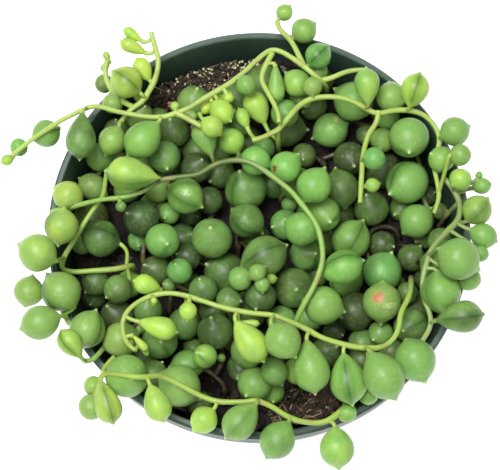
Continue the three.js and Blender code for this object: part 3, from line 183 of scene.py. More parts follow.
note_string("string_south_west_edge", (-37.25, -29.25), [
    [(-37.5, -27.75, -9), (-39.5, -26.75, -5), (-42, -25.25, -2), (-45, -24.25, 1),
     (-47.25, -23.25, 2.5), (-48.5, -21, 2.5), (-49.5, -18, 2), (-50, -14.75, 1.5),
     (-50.25, -11.75, 1)],
    [(-37.5, -27.75, -9), (-39, -29.75, 1), (-41, -32, 3.5), (-42.5, -33, 4), (-43.5, -32.5, 4)],
], [
    (-42.5, -23, 10, 5.5, {"tip": (-40.5, -19.75), "lift": 4, "roll": 50}),
    (-34.75, -27, 9.25, 6, {"base": (-38.75, -29.25)}),
    (-45.75, -28, 6.75, 8, {"base": (-43.75, -32.25), "long": 1.25, "roll": -20}),
    (-54.75, -23, 9, 6, {"tip": (-59.25, -25), "base": (-49.75, -21.75), "long": 1.08}),
    (-50.75, -14.75, 10.75, 5.5, {"tip": (-53, -10.5), "lift": 5, "roll": -50}),
    (-57.25, -14.75, 7.5, 6.5, {"tip": (-56.25, -10.75)}),
])
note_string("string_middle", (8.5, -27.75), [
    [(8.75, -25, -5), (9.5, -22.75, -1), (10.5, -20.25, 1), (11.75, -17.75, 2), (13.5, -14.75, 3),
     (14.75, -12, 3.5), (15.75, -9.25, 4), (16.25, -6, 4), (15.75, -2.25, 4), (15, 0.75, 4),
     (13.5, 3.5, 4), (11.25, 6.25, 4), (8.5, 9.75, 3.5), (5.5, 12.25, 3), (2.5, 14.5, 2.5),
     (-0.5, 16.5, 2), (-4, 17.75, 2), (-7.75, 17.5, 2), (-10.75, 16.75, 2), (-13, 15.25, 2),
     (-15.25, 14, 2), (-18.25, 13.75, 2), (-21.5, 13.25, 2), (-24.5, 12.75, 2), (-27, 11, 2.5),
     (-29, 9.75, 3), (-31.5, 9, 3.5), (-34.5, 8.25, 4), (-38.25, 8, 4), (-42, 7.25, 3.5),
     (-45.75, 6.25, 3), (-49.5, 5.5, 3), (-52, 4.75, 3.5)],
], [
    (-47, 9, 8, 8, {"base": (-43.75, 6.5)}),
    (-49.25, 0.75, 8.75, 7.5, {"base": (-48.5, 5), "lift": 2, "roll": 60}),
    (-31.75, 15, 9.25, 7.6, {"tip": (-39.5, 15.5), "base": (-25.75, 13.75), "long": 1.35, "roll": -40}),
    (-34.25, 6, 2.75, 4), (-13.25, 23.25, 6.75, 5.5, {"base": (-11.25, 18), "long": 1.35}),
    (-6.75, 22, 6.75, 8, {"base": (-4.75, 19.25)}),
    (-0.25, 17.5, 7.75, 7, {"tip": (3.25, 16.25), "lift": 2}),
    (7.25, 16.25, 8, 7, {"tip": (9.25, 19.75), "base": (3.75, 14)}),
    (14.25, 11.75, 9, 7.2, {"tip": (17.5, 16.25), "base": (11.75, 6.75), "roll": 180}),
    (10.5, 0.75, 8.5, 6.5, {"tip": (7, 3.75), "base": (14.5, -0.5)}),
    (21.25, -9, 9, 7, {"tip": (27, -7.75), "base": (16, -11.25), "long": 1.15, "roll": -40}),
    (16.75, -18.75, 9.75, 6.5, {"tip": (21.75, -20.25), "base": (11.5, -17.25)}),
])
note_string("string_north", (5.25, 18.25), [
    [(5.25, 20.25, -8), (5, 22.75, -2), (5, 25.25, 2)],
    [(5, 25.25, 2), (3, 24.25, 2), (1, 23.25, 2), (-1.5, 22.75, 2)],
    [(5, 25.25, 2), (6.75, 27.25, 2.5), (8.75, 29.75, 3), (10.5, 31.5, 3), (13, 33, 3.5),
     (15.5, 33.5, 4), (19.25, 33.5, 4.5), (23, 32.75, 4.5), (26, 31.25, 4), (29.5, 29.25, 3.5),
     (32, 29.75, 4), (34.5, 30.25, 4), (37, 30.25, 4.5), (39.75, 29.75, 4.5), (42.5, 28.25, 4),
     (44.5, 25.75, 3.5), (45.5, 22.75, 3), (44.5, 19.25, 2), (44, 15.75, 1), (45, 11.5, 0),
     (45.25, 8.25, -1), (44, 4.5, -3)],
    [(29.5, 29.25, 3.5), (29.75, 27, 3), (28, 25, 2.5), (27, 22.25, 2), (26.25, 18.75, 2),
     (26, 15.25, 2), (25.75, 11.25, 2), (25.5, 7, 2)],
], [
    (-3.75, 28.25, 4, 8, {"base": (-1.75, 23.75), "long": 1.35}),
    (0.5, 31, 6.75, 8.5, {"tip": (-0.75, 34.75), "base": (3.25, 26.25), "long": 1.3}),
    (9.5, 38, 7.25, 7.5, {"base": (13, 34), "roll": 70}), (6.5, 29.5, 7.25, 6), (33.25, 33, 8, 6),
    (10.25, 33.25, 5.5, 4, {"lift": -4}), (12.75, 36.25, 5, 6, {"lift": -4}),
    (27.25, 36.25, 6.75, 7.5, {"tip": (28.25, 40.5), "base": (28.75, 30.5), "long": 1.35}),
    (39.25, 35.5, 7.5, 8.5, {"tip": (41, 39.25), "base": (38.5, 31), "long": 1.15, "roll": 0}),
    (49.5, 25, 7.5, 6, {"base": (46, 23.75)}), (46.75, 18, 7.25, 7, {"tip": (43, 19.25)}),
    (50.75, 17.75, 6, 6.5), (28.75, 11.5, 3.75, 8, {"tip": (30.75, 12), "base": (26.5, 11)}),
    (29.25, 18, 5.75, 6),
])
note_string("string_upper", (17.25, 32.25), [
    [(17, 36, -2), (16, 37.25, 3), (14, 39, 5), (11.75, 41, 5.5), (9.25, 42.75, 5.5),
     (6.5, 44.5, 6), (3.75, 45.5, 6), (1.5, 44.25, 6), (-1, 42, 6), (-4.5, 38.75, 6),
     (-8, 36.25, 6), (-10.75, 34.75, 6), (-14.5, 32.5, 6), (-17.75, 30.5, 6), (-20.5, 29.5, 6),
     (-23.25, 28.5, 6), (-27.5, 28.5, 6), (-32, 29.25, 6), (-35.75, 30, 6), (-39, 31, 5.5),
     (-41.5, 31.25, 5), (-44, 30.25, 4.5), (-46.5, 29, 4), (-49.5, 27.5, 3), (-53, 25.25, 1),
     (-56.75, 22.75, -1), (-59.25, 20.75, -2), (-61.5, 19, -3)],
    [(11.75, 41, 5.5), (10.25, 43.75, 5.5), (8.75, 46.75, 5.5), (7.25, 48.75, 5),
     (5.5, 50.25, 4.5), (4.75, 52.25, 4)],
    [(3.75, 45.5, 6), (2.25, 42, 5.5), (0.75, 38, 5), (2.25, 35, 5), (4, 31.75, 5),
     (5.25, 28.75, 5.5), (5.25, 27, 5.5)],
    [(16, 37.25, 3), (18.5, 38.25, 4), (21.75, 39.75, 4.5), (25, 40.25, 5), (27.5, 40.25, 5)],
    [(-20.5, 29.5, 6), (-17, 27.75, 5.5), (-14, 26, 5)],
], [
    (-62.75, 17.75, 3, 8, {"tip": (-64.25, 17), "long": 1.15}), (-59.75, 21, 4.75, 7),
    (-53.25, 24.25, 7.25, 6, {"tip": (-56.75, 22.75)}),
    (-44.25, 23.5, 8.25, 3.8, {"tip": (-44.25, 17), "base": (-43.5, 29.25), "long": 1.35}),
    (-29.75, 22.75, 9.25, 7, {"base": (-24.5, 27.5), "long": 1.15, "roll": 50}),
    (-20.75, 31.25, 2.5, 8), (-16.25, 28.75, 2.25, 6),
    (-9, 29.75, 6.25, 9, {"tip": (-5.75, 29.75), "base": (-9.75, 34), "long": 1.1}),
    (-11.75, 26.25, 5.75, 8.5, {"tip": (-14.5, 28.75)}), (-7.25, 33.25, 2.75, 9),
    (-2.75, 36.25, 5.25, 5.5), (4.5, 36.75, 4.75, 7, {"base": (4.25, 43.75), "long": 2}),
    (6.75, 54.75, 4.5, 7, {"base": (4.75, 52.5)}),
    (11.75, 50.25, 6.5, 6.5, {"tip": (14.75, 52.5), "base": (8.25, 48)}),
    (15.25, 44, 6.75, 6, {"tip": (18.25, 47), "roll": 0}), (15.25, 40, 5, 4.5),
])
note_string("string_young_shoot", (-29.5, 27.5), [
    [(-29.5, 30.5, -8), (-28, 33, -2), (-27.25, 35, 4)],
    [(-27.25, 35, 4), (-25.75, 37.75, 5.5), (-25, 40.75, 7), (-25, 43.75, 8), (-26, 46.75, 8.5),
     (-26.75, 49.75, 9)],
    [(-27.25, 35, 4), (-29, 32.25, 3), (-31.25, 30.75, 2.5), (-33.25, 28.75, 2),
     (-34.75, 26.5, 1.5)],
    [(-31.25, 30.75, 2.5), (-35, 33.25, 2), (-37.5, 36.75, 2.5), (-38.25, 40.25, 3),
     (-37.75, 42.75, 4)],
], [
    (-31.25, 49, 3, 9, {"tip": (-33.5, 51), "base": (-28, 47), "long": 1.9}),
    (-31.25, 46, 4, 8.5, {"tip": (-34.75, 47.5), "base": (-27.5, 44), "long": 1.8}),
    (-28.75, 40.5, 5, 8.5, {"tip": (-30.5, 42.75), "base": (-27, 37), "long": 1.3}),
    (-33.25, 37.5, 8.25, 8, {"tip": (-36.75, 40.75), "base": (-29.5, 35), "roll": 10}),
    (-29.25, 33.5, 2.25, 8.5), (-36.5, 32.5, 5.5, 6.5), (-38.5, 36.75, 5, 4),
    (-38.25, 41, 2.25, 7, {"long": 1.5}),
    (-37.75, 43.5, 2, 7.5, {"tip": (-38.5, 45), "long": 1.5}),
    (-36.5, 22.25, 7.5, 6.5, {"base": (-34.75, 26)}),
])
note_string("string_lower", (38.25, -13.75), [
    [(38.25, -11.75, -4), (38.25, -14.25, -2), (37.75, -16.5, 0), (36.5, -18.75, 1.5),
     (35.5, -21.25, 3), (35.25, -24, 4), (34.25, -26.5, 5), (32.25, -28.5, 5.5),
     (29.75, -29.25, 6), (26.75, -29.25, 6), (23, -28.75, 6), (19.25, -27.75, 6), (15.5, -26.5, 6),
     (13, -25, 6), (10, -23.5, 6.5), (7, -22.25, 7), (3.75, -21, 7), (0.5, -20.75, 7),
     (-3.25, -20.25, 7), (-7.25, -19.5, 7), (-10.75, -18.5, 7), (-14.5, -17.25, 7),
     (-17.75, -16.25, 7), (-21.5, -15.5, 7), (-25, -15.75, 7), (-27.5, -16.5, 7),
     (-30, -17.75, 6.5), (-32.5, -19.75, 6), (-33.75, -22, 6), (-34, -24.5, 5.5), (-33.25, -27, 5),
     (-32.25, -28.75, 4.5), (-30.75, -29.75, 4)],
], [
    (-29.5, -28, 2.25, 8.5, {"tip": (-27.5, -30.75), "base": (-32.5, -25.5), "long": 2.3}),
    (-25, -24, 6, 8.5, {"tip": (-20.5, -25), "base": (-31.25, -22), "long": 1.6}),
    (-27.75, -13.5, 5.25, 9, {"tip": (-32.25, -13.75), "base": (-26.5, -15.75), "long": 1.35}),
    (-26, -17.5, 1.75, 8.5),
    (-17.5, -20.25, 4.5, 8.5, {"tip": (-19, -22.5), "base": (-18.5, -17.25)}),
    (-2, -27.75, 8.5, 8.5, {"base": (-6.5, -21.25), "long": 1.35}),
    (-2.25, -23, 2, 8, {"tip": (0.5, -22.75), "base": (-6, -22.25), "long": 2.6}),
    (6.5, -27.75, 9, 6.5, {"tip": (10, -31.25), "base": (3.75, -23)}),
    (13.25, -34.25, 9.5, 6.5, {"tip": (15.5, -40), "base": (13.5, -27.5), "long": 1.3}),
    (22.5, -36.5, 9.5, 7, {"tip": (23.25, -42.75), "base": (21, -29.75), "long": 1.25, "roll": 5}),
    (32.25, -36.5, 10.75, 6, {"tip": (36, -42.75), "base": (29.5, -30.5), "long": 1.15}),
    (26.75, -41, 5.5, 6, {"lift": -3}), (26, -32.5, 7, 3, {"lift": -5}), (37.25, -14.75, 5.5, 3),
])
note_string("string_front", (21.25, -42), [
    [(21.75, -40.75, -6), (22.25, -42.25, -1), (21.25, -44.5, 2.5), (19.5, -46, 3.5),
     (17.5, -47.5, 4), (15, -48, 4), (11.75, -47.75, 4), (8.5, -47, 4.5), (6.25, -45.75, 4.5),
     (3.75, -44, 5), (1.5, -43, 5), (-0.5, -42.25, 5), (-3, -42.75, 5), (-6, -42.75, 5),
     (-9.5, -42.75, 5), (-12.5, -42, 5), (-15.25, -40.75, 5.5), (-18, -39.25, 6),
     (-20.75, -37.75, 6.5), (-23.25, -36.5, 7.5), (-25.25, -36, 9), (-27.5, -36.5, 11),
     (-30.5, -36.5, 12.5), (-34, -36, 12), (-37, -35.75, 10), (-39, -35.5, 8), (-38.5, -34.25, 7),
     (-37.25, -32.75, 6), (-36, -31.5, 5)],
], [
    (-31.75, -36.25, 11.5, 6),
    (-37.75, -43, 7, 8, {"tip": (-35.75, -48.5), "base": (-39.25, -37), "long": 1.5, "roll": -10}),
    (-41.75, -44.25, 6.5, 5.5), (-41.25, -39.75, 5, 7),
    (-25.25, -43.25, 7, 8, {"tip": (-23.75, -47.25), "base": (-27, -38.5), "long": 1.3}),
    (-13.75, -47.5, 6.75, 8.5, {"tip": (-16.25, -50), "base": (-10.75, -44)}),
    (-4.5, -47.75, 8.5, 6, {"tip": (-8.5, -51.75), "base": (-1, -43.5), "long": 1.2, "roll": 0}),
    (4.75, -52.5, 8.75, 4.5, {"tip": (2.75, -57), "base": (8, -48.5), "long": 1.1}),
    (19.75, -54.5, 8.5, 7.5, {"tip": (20, -59.25), "base": (19, -48.75), "long": 1.12, "roll": -60}),
    (22.5, -44.5, 4.75, 7, {"tip": (24.25, -42.75)}),
])
note_string("string_east_edge", (45.5, -1.75), [
    [(45.25, 0.75, -8), (46.5, 3.25, -3), (48.25, 5.25, 0), (50.25, 7.25, 2.5)],
    [(50.25, 7.25, 2.5), (49.25, 9.75, 2), (47.75, 11.75, 2), (46.25, 13.5, 1.5)],
    [(50.25, 7.25, 2.5), (50.5, 4.5, 3), (49.5, 2, 3), (47.75, 0.5, 3), (46, -1.5, 3),
     (44.25, -3.25, 3), (43, -5.25, 3), (42.25, -7.75, 3), (41.5, -10.25, 3), (41, -13.5, 2.5),
     (41.5, -17.25, 2.5), (43, -20.75, 3), (43.25, -23.5, 3), (42, -26, 3), (40.5, -28.25, 3)],
], [
    (50.75, 13, 5.75, 8), (56, 11.25, 4.25, 5, {"tip": (58.25, 11.75), "long": 1.15}),
    (55.25, 14, 2, 6, {"tip": (55.5, 15)}), (55, 5.5, 7.5, 7, {"tip": (57.75, 8.5), "roll": 10}),
    (56.5, -1.25, 6.5, 6.5, {"base": (53, 0.25), "long": 1.1}),
    (50.5, -7.25, 10.5, 6, {"base": (45.75, -4.75), "lift": 6}), (53, -12, 6, 7.5, {"lift": 2}),
    (55.75, -5.75, 4.25, 6),
    (39.5, -32.75, 10.5, 5.5, {"tip": (44.25, -37.25), "base": (40.25, -28.25), "lift": 1}),
    (44.5, -15.75, 11, 6, {"tip": (46.5, -21), "roll": 50}),
    (50.75, -21.5, 8.5, 4, {"tip": (56.25, -20.75), "base": (45, -22.25), "long": 1.3, "roll": 0}),
])

print(len(STRINGS), "strings with", sum(len(s["pearls"]) for s in STRINGS), "pearls")

# %% [markdown]
# ## Where the pearls hang
# Stems lie where the plan has them. A pearl hangs beside or under its stem, and it moves up or
# down the eye's line until it touches nothing, as the real ones settle on each other. The top
# strings are laid first, because they show most, and the shaded ones fill what is left.

# %% Turn seen places into places in space
# The pot, the soil and the stems as the frame has them, in millimetres
POT_HEIGHT, RIM_RADIUS, BASE_RADIUS, WALL, FLOOR = 86, 52.9, 37, 1.1, 1.8
BAND_HEIGHT, BAND_STEP, LIP_REACH, LIP_HEIGHT = 11, 1.8, 0.7, 2.2
POT_SIDES = 30
SOIL_TOP = POT_HEIGHT - 14.5
SOIL_RISE, SOIL_HUMPS = 0.05, 0.9
STEM_RADIUS, STALK_RADIUS = 0.7, 0.5
# The photograph's eye
VIEW_TILT, EYE_DISTANCE = math.radians(16), 500
picture_centre = np.array([-0.3, -0.4, POT_HEIGHT])
view_right = np.array([1.0, 0.0, 0.0])
view_up = np.array([0.0, math.cos(VIEW_TILT), math.sin(VIEW_TILT)])
view_back = np.array([0.0, -math.sin(VIEW_TILT), math.cos(VIEW_TILT)])
eye = picture_centre + EYE_DISTANCE * view_back


def place(right, up, height):
    """The point on the eye's line through a seen place, at a height over the rim."""
    line = picture_centre + right * view_right + up * view_up - eye
    return eye + line * (POT_HEIGHT + height - eye[2]) / line[2]


def seen_at(points):
    """Where points are seen: right of and above the picture's centre."""
    line = np.atleast_2d(points) - eye
    scale = EYE_DISTANCE / -(line @ view_back)
    return np.stack([line @ view_right * scale, line @ view_up * scale], axis=1)


def soil_relief(x, y):
    """How far the soil lies over its mean height: higher at the back, with humps 16 mm wide."""
    return SOIL_RISE * y + SOIL_HUMPS * np.sin(0.2 * x + 1.1) * np.cos(0.17 * y - 0.4)


def inside_radius(z):
    """The radius of the frame's many-sided pot at a height, from its middle to a flat."""
    top, bottom = RIM_RADIUS - LIP_REACH - WALL, BASE_RADIUS - WALL
    corner = bottom + (top - bottom) * (z - FLOOR) / (POT_HEIGHT - FLOOR)
    return corner * math.cos(math.pi / POT_SIDES)


# %% Draw each stem as a smooth curve and note points along it
# The frame's stems are straight lengths of about 6.4 mm, and a leaf may hang every 0.8 mm
STEM_STEP, SAMPLE_STEP = 6.4, 0.8
# The plant mounds over the pot's middle, and the shaded layer lies lower
MOUND, INNER_SINK = 8, 2
# A stem starts this deep in the soil, comes out straight and is bare near the soil
ROOT_DEPTH, COLLAR, BARE_FOOT = 6, 1.5, 2.5


def smooth_curve(points, count=200):
    """count + 1 points of a curve that passes through all the given ones without overshooting."""
    points = [2 * points[0] - points[1], *points, 2 * points[-1] - points[-2]]
    spans = len(points) - 3
    drawn = []
    for step in range(count + 1):
        first = min(int(spans * step / count), spans - 1)
        t = spans * step / count - first
        a, b, c, d = points[first:first + 4]
        gaps = [max(np.sum((q - p) ** 2) ** 0.25, 1e-4) for p, q in ((a, b), (b, c), (c, d))]
        out = ((b - a) / gaps[0] - (c - a) / (gaps[0] + gaps[1]) + (c - b) / gaps[1]) * gaps[1]
        into = ((c - b) / gaps[1] - (d - b) / (gaps[1] + gaps[2]) + (d - c) / gaps[2]) * gaps[1]
        drawn.append(b + out * t + (3 * (c - b) - 2 * out - into) * t ** 2
                     + (2 * (b - c) + out + into) * t ** 3)
    return np.array(drawn)


def spaced(curve, gap):
    """Evenly spaced points along a drawn curve, about one gap apart."""
    lengths = np.concatenate([[0], np.cumsum(np.linalg.norm(np.diff(curve, axis=0), axis=1))])
    count = max(2, math.ceil(lengths[-1] / gap))
    at = np.linspace(0, lengths[-1], count + 1)
    return np.stack([np.interp(at, lengths, curve[:, k]) for k in range(3)], axis=1)


def along(corners):
    """Points at small steps along the straight lengths between corners."""
    points = []
    for a, b in zip(corners, corners[1:]):
        count = math.ceil(np.linalg.norm(b - a) / SAMPLE_STEP)
        points += [a + (b - a) * (k + 1) / count for k in range(count)]
    return np.array(points)


def raised(inner, right, up):
    """How far a stem lies over its point's height: the top mounds over the pot's middle."""
    inwards = max(0, 1 - (right ** 2 + up ** 2) / RIM_RADIUS ** 2)
    return -INNER_SINK if inner else MOUND * inwards


def lay_stems(string, owner):
    """Draws a string's stems: the first out of the soil, the others from an earlier one."""
    foot = place(*string["foot"], SOIL_TOP - POT_HEIGHT)
    inner = "inner" in string["name"]
    string["curves"], samples = [], []
    for number, points in enumerate(string["stems"]):
        route = [place(right, up, height + raised(inner, right, up))
                 for right, up, height in points]
        if number == 0:
            route = [foot - [0, 0, ROOT_DEPTH], foot, foot + [0, 0, COLLAR]] + route
        else:
            earlier = np.concatenate([along(spaced(curve, STEM_STEP))
                                      for curve in string["curves"]])
            route[0] = earlier[np.argmin(np.linalg.norm(earlier - route[0], axis=1))]
        string["curves"].append(smooth_curve(route))
        points = along(spaced(string["curves"][-1], STEM_STEP))
        lay_balls(points, STEM_RADIUS, owner, False)
        carrying = points[:-1]
        samples.append(carrying[carrying[:, 2] > SOIL_TOP + BARE_FOOT])
    string["samples"] = np.concatenate(samples)
    string["samples_seen"] = seen_at(string["samples"])


# %% Keep what is laid as balls and test new ones against them
# Room left at the pot and soil, to other strings, and to leaves of the same string, which may
# grow into each other a little
FIT_GAP, STRING_GAP, SISTER_GAP = 0.3, 0.4, -0.6
# The lip counts as a round bead, 1 mm in and 1 mm down from the rim's edge
LIP_INSET, LIP_BEAD = 1, 1.35
laid = {"centre": [], "radius": [], "owner": [], "is_pearl": [], "seen": []}


def lay_balls(centres, radii, owner, is_pearl):
    """Notes balls as laid, with the string that they belong to."""
    centres = np.atleast_2d(centres)
    laid["centre"] += list(centres)
    laid["radius"] += list(np.broadcast_to(radii, len(centres)))
    laid["owner"] += [owner] * len(centres)
    laid["is_pearl"] += [is_pearl] * len(centres)
    laid["seen"] += list(seen_at(centres))


def clear_of_pot(centres, radii):
    """True if balls touch neither the pot's wall and lip nor the soil."""
    out = np.hypot(centres[:, 0], centres[:, 1])
    over = centres[:, 2] - (POT_HEIGHT - LIP_INSET)
    lip = np.hypot(out - (RIM_RADIUS - LIP_INSET), over) - radii - LIP_BEAD
    outside = np.minimum(lip, out - radii - RIM_RADIUS)
    wall = inside_radius(centres[:, 2] - radii) - out - radii
    soil = centres[:, 2] - radii - SOIL_TOP - soil_relief(centres[:, 0], centres[:, 1]) - 0.5
    inside = np.minimum(wall, soil)
    gap = np.where(out > RIM_RADIUS, outside, inside)
    gap = np.where(centres[:, 2] > POT_HEIGHT + LIP_INSET, lip, gap)
    return bool(np.all(gap > FIT_GAP))


def is_clear(centres, radii, near, owner, leaf_gap, stem_gap):
    """True if balls keep their gaps from the pot, the soil, and what is laid.

    The last two are the gaps to the leaves and the stems of their own string."""
    if not clear_of_pot(centres, radii):
        return False
    own_gap = np.where(near["is_pearl"], leaf_gap, stem_gap)
    gap = np.where(near["owner"] == owner, own_gap, STRING_GAP)
    reach = np.maximum(0, radii[:, None] + near["radius"][None, :] + gap[None, :])
    apart = np.linalg.norm(centres[:, None, :] - near["centre"][None, :, :], axis=2)
    return bool(np.all(apart >= reach))


# %% Work out how one pearl points and what it fills
# How far a round leaf reaches from its middle to its stalk and to its point, in half widths
BASE_REACH, TIP_REACH = 1.06, 1.2
# A leaf counts as four balls: places along it and radii, in half widths
LEAF_BALLS = [[0.05, 1.02], [-0.5, 0.78], [-0.85, 0.4], [0.85, 0.4]]
STALK_ROOM = STALK_RADIUS + 0.1
# A leaf counts as covered by another where they overlap by this share of the smaller half
COVERED = 0.3


def base_reach(pearl):
    """How far a leaf reaches from its middle to its stalk, in half widths."""
    return BASE_REACH + 2 * (pearl["long"] - 1)


def view_vector(right, up, back):
    """A direction of length one, given as the eye sees it."""
    vector = right * view_right + up * view_up + back * view_back
    return vector / np.linalg.norm(vector)


def crossing(pearl, across):
    """How far a pearl's middle keeps from a stem that crosses it in the picture."""
    return math.sqrt(pearl["half"] ** 2 - across ** 2) if across < pearl["half"] else 0


def pearl_axis(pearl, nearest_seen):
    """Towards its seen tip, away from its seen base, or away from its stem."""
    reach = pearl["half"] * pearl["long"]
    tip, base, at = pearl["tip"], pearl["base"], pearl["at"]
    if tip and base:
        right, up = tip[0] - base[0], tip[1] - base[1]
        seen = math.hypot(right, up)
        full = max(seen, 2 * reach)
        return view_vector(right, up, math.sqrt(full ** 2 - seen ** 2) * 0.6)
    if tip:
        right, up = tip[0] - at[0], tip[1] - at[1]
        seen = math.hypot(right, up)
        return view_vector(right, up, math.sqrt(max(0, reach ** 2 - seen ** 2)))
    if base:
        return view_vector(at[0] - base[0], at[1] - base[1], -0.15 * reach)
    right, up = at[0] - nearest_seen[0], at[1] - nearest_seen[1]
    across = math.hypot(right, up)
    steep = max(crossing(pearl, across), across if pearl["stands"] else 0.5 * across)
    return view_vector(right, up, steep if pearl["stands"] else -steep)


def pearl_balls(pearl):
    """The middles and radii of the balls that a leaf counts as."""
    balls = np.array(LEAF_BALLS)
    balls[1:3, 0] *= base_reach(pearl)
    balls = balls * pearl["half"]
    return pearl["centre"] + balls[:, :1] * pearl["axis"], balls[:, 1]


def set_height(pearl, height, nearest_seen):
    """Moves a leaf along the eye's line to a height over the rim."""
    pearl["height"] = height
    pearl["axis"] = pearl_axis(pearl, nearest_seen)
    shift = (base_reach(pearl) - TIP_REACH) / 2 * pearl["half"]
    pearl["centre"] = place(*pearl["at"], height) + shift * pearl["axis"]
    pearl["neck"] = pearl["centre"] - base_reach(pearl) * pearl["half"] * pearl["axis"]


def find_stalk(pearl, samples, near, owner):
    """The nearest place on the string's own stems that a clear stalk can reach.

    Every other one of the 24 nearest places is tried."""
    distances = np.linalg.norm(samples - pearl["neck"], axis=1)
    for index in np.argsort(distances, kind="stable")[:24:2]:
        root = samples[index]
        count = max(2, math.ceil(distances[index] / SAMPLE_STEP))
        points = root + (pearl["neck"] - root) * np.linspace(0, 1, count + 1)[:, None]
        points = points[np.linalg.norm(points - pearl["centre"], axis=1) > 0.9 * pearl["half"]]
        radii = np.full(len(points), STALK_ROOM)
        if len(points) == 0 or is_clear(points, radii, near, owner, -2 * STALK_RADIUS, -2):
            return root, points
    return None


def keeps_order(pearl, higher):
    """True if the pearl lies under each one of a higher string that covers it for the eye."""
    for other in higher:
        across = math.dist(pearl["at"], other["at"])
        overlap = pearl["half"] + other["half"] - across
        covered = overlap >= COVERED * min(pearl["half"], other["half"])
        if covered and pearl["height"] >= other["height"]:
            return False
    return True


# %% Lay all the pearls
# Tried in turn: share of the width, way aside, way up and down, whether it stays under what
# covers it, and its gap to its own stems
ATTEMPTS = [
    (1, 0, 5, True, 0), (1, 0.8, 5, True, 0), (0.96, 0.8, 5, True, -1.5), (1, 0.8, 6, False, -1.5),
    (0.93, 1.2, 6, True, -2), (0.93, 1.2, 7, False, -2), (0.87, 1.5, 8, False, -2),
    (0.8, 2, 9, False, -3), (0.7, 2, 10, False, -4),
]
HEIGHT_STEP = 0.25
# Only what is seen this near to a leaf can be in its way
NEIGHBOURHOOD = 26


def try_pearl(pearl, samples, samples_seen, near, higher, owner, attempt):
    """Lays a leaf beside, over or under its stem, at the first place where it is clear."""
    share, aside, search, ordered, own_stem_gap = attempt
    start_at = pearl["at"]
    target = pearl["base"] or start_at
    nearest = int(np.argmin(np.hypot(*(samples_seen - target).T)))
    nearest_seen = samples_seen[nearest]
    pearl["half"] = share * pearl["width"] / 2
    under = crossing(pearl, math.dist(start_at, nearest_seen))
    away = under + STEM_RADIUS + 0.2 if under > 0 else 0.4
    start = samples[nearest][2] - POT_HEIGHT + (away if pearl["stands"] else -away) + pearl["lift"]
    heights = [start]
    for number in range(1, int(search / HEIGHT_STEP) + 1):
        heights += [start + HEIGHT_STEP * number, start - HEIGHT_STEP * number]
    steps = [(0, 0), (1, 0), (-1, 0), (0, 1), (0, -1)] if aside > 0 else [(0, 0)]
    for height in heights:
        for right, up in steps:
            pearl["at"] = (start_at[0] + aside * right, start_at[1] + aside * up)
            set_height(pearl, height, nearest_seen)
            centres, radii = pearl_balls(pearl)
            if ordered and not keeps_order(pearl, higher):
                continue
            if not is_clear(centres, radii, near, owner, SISTER_GAP, own_stem_gap):
                continue
            stalk = find_stalk(pearl, samples, near, owner)
            if stalk is None:
                continue
            pearl["root"] = stalk[0]
            lay_balls(centres, radii, owner, True)
            if len(stalk[1]):
                lay_balls(stalk[1], STALK_ROOM, owner, False)
            return True
    pearl["at"] = start_at
    return False


def lay_pearl(pearl, string, owner, higher):
    """Lays a leaf by the first attempt that succeeds."""
    close = np.hypot(*(string["samples_seen"] - pearl["at"]).T) < NEIGHBOURHOOD
    obstacles = {key: np.array(values) for key, values in laid.items()}
    beside = np.hypot(*(obstacles["seen"] - pearl["at"]).T) < NEIGHBOURHOOD
    near = {key: values[beside] for key, values in obstacles.items()}
    over = [other for other in higher if math.dist(other["at"], pearl["at"]) < NEIGHBOURHOOD]
    samples, samples_seen = string["samples"][close], string["samples_seen"][close]
    return any(try_pearl(pearl, samples, samples_seen, near, over, owner, attempt)
               for attempt in ATTEMPTS)


# What lies on the soil is in the way too
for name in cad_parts:
    if not name.startswith(("string", "pot", "soil")):
        low, high = (np.array(corner) * 1000 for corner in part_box(name))
        lay_balls((low + high) / 2, max(high - low) / 2, -1, False)
for owner, string in enumerate(STRINGS):
    lay_stems(string, owner)
higher = []
for owner, string in reversed(list(enumerate(STRINGS))):
    string["laid"] = []
    for right, up, width, tone, *options in sorted(string["pearls"], key=lambda row: -row[2]):
        pearl = {"at": (right, up), "width": width, "tone": tone, "long": 1, "lift": 0,
                 "tip": None, "base": None, "roll": None, "stands": "inner" in string["name"]}
        pearl.update(*options)
        if lay_pearl(pearl, string, owner, higher):
            string["laid"].append(pearl)
    higher += string["laid"]
print("laid", len(higher), "pearls")

# %% [markdown]
# ## The shaded leaves
# The peat between the strings is hidden by the leaves of older stems that creep over it. Nobody
# can see how they run, so they are grown by a rule: wherever the eye would still see peat, the
# largest ball that fits there becomes a leaf, until no room is left. A few patches stay bare, as
# they are on the real plant.

# %% Put leaves into the free room over the peat
# Bare patches of peat: right, up, half width and half height
BARE_PEAT = [(-14, 39, 15, 6.5), (-23.5, 34.5, 7, 6), (3, 46, 32, 9), (-43, 17, 4.5, 8),
             (-36.5, 3, 5, 4), (-37, -7, 9, 5), (-9, -38.5, 5.5, 9), (6.5, -45.5, 16, 6),
             (13.5, -42.5, 10.5, 6), (47.5, 8.5, 4, 5), (44.5, -26, 5, 5), (1.5, 28.5, 5, 7)]
SHADED_WIDTHS = (5.5, 10.5)
# Where they may stand: how far from the rim's middle, how far apart, and heights over the rim
SHADED_REACH, GRID_STEP = 48, 0.8
SHADED_HEIGHTS = np.arange(-12.5, 1, 0.5)
# A ball covers the grid's places within this share of its radius
COVERING = 0.92


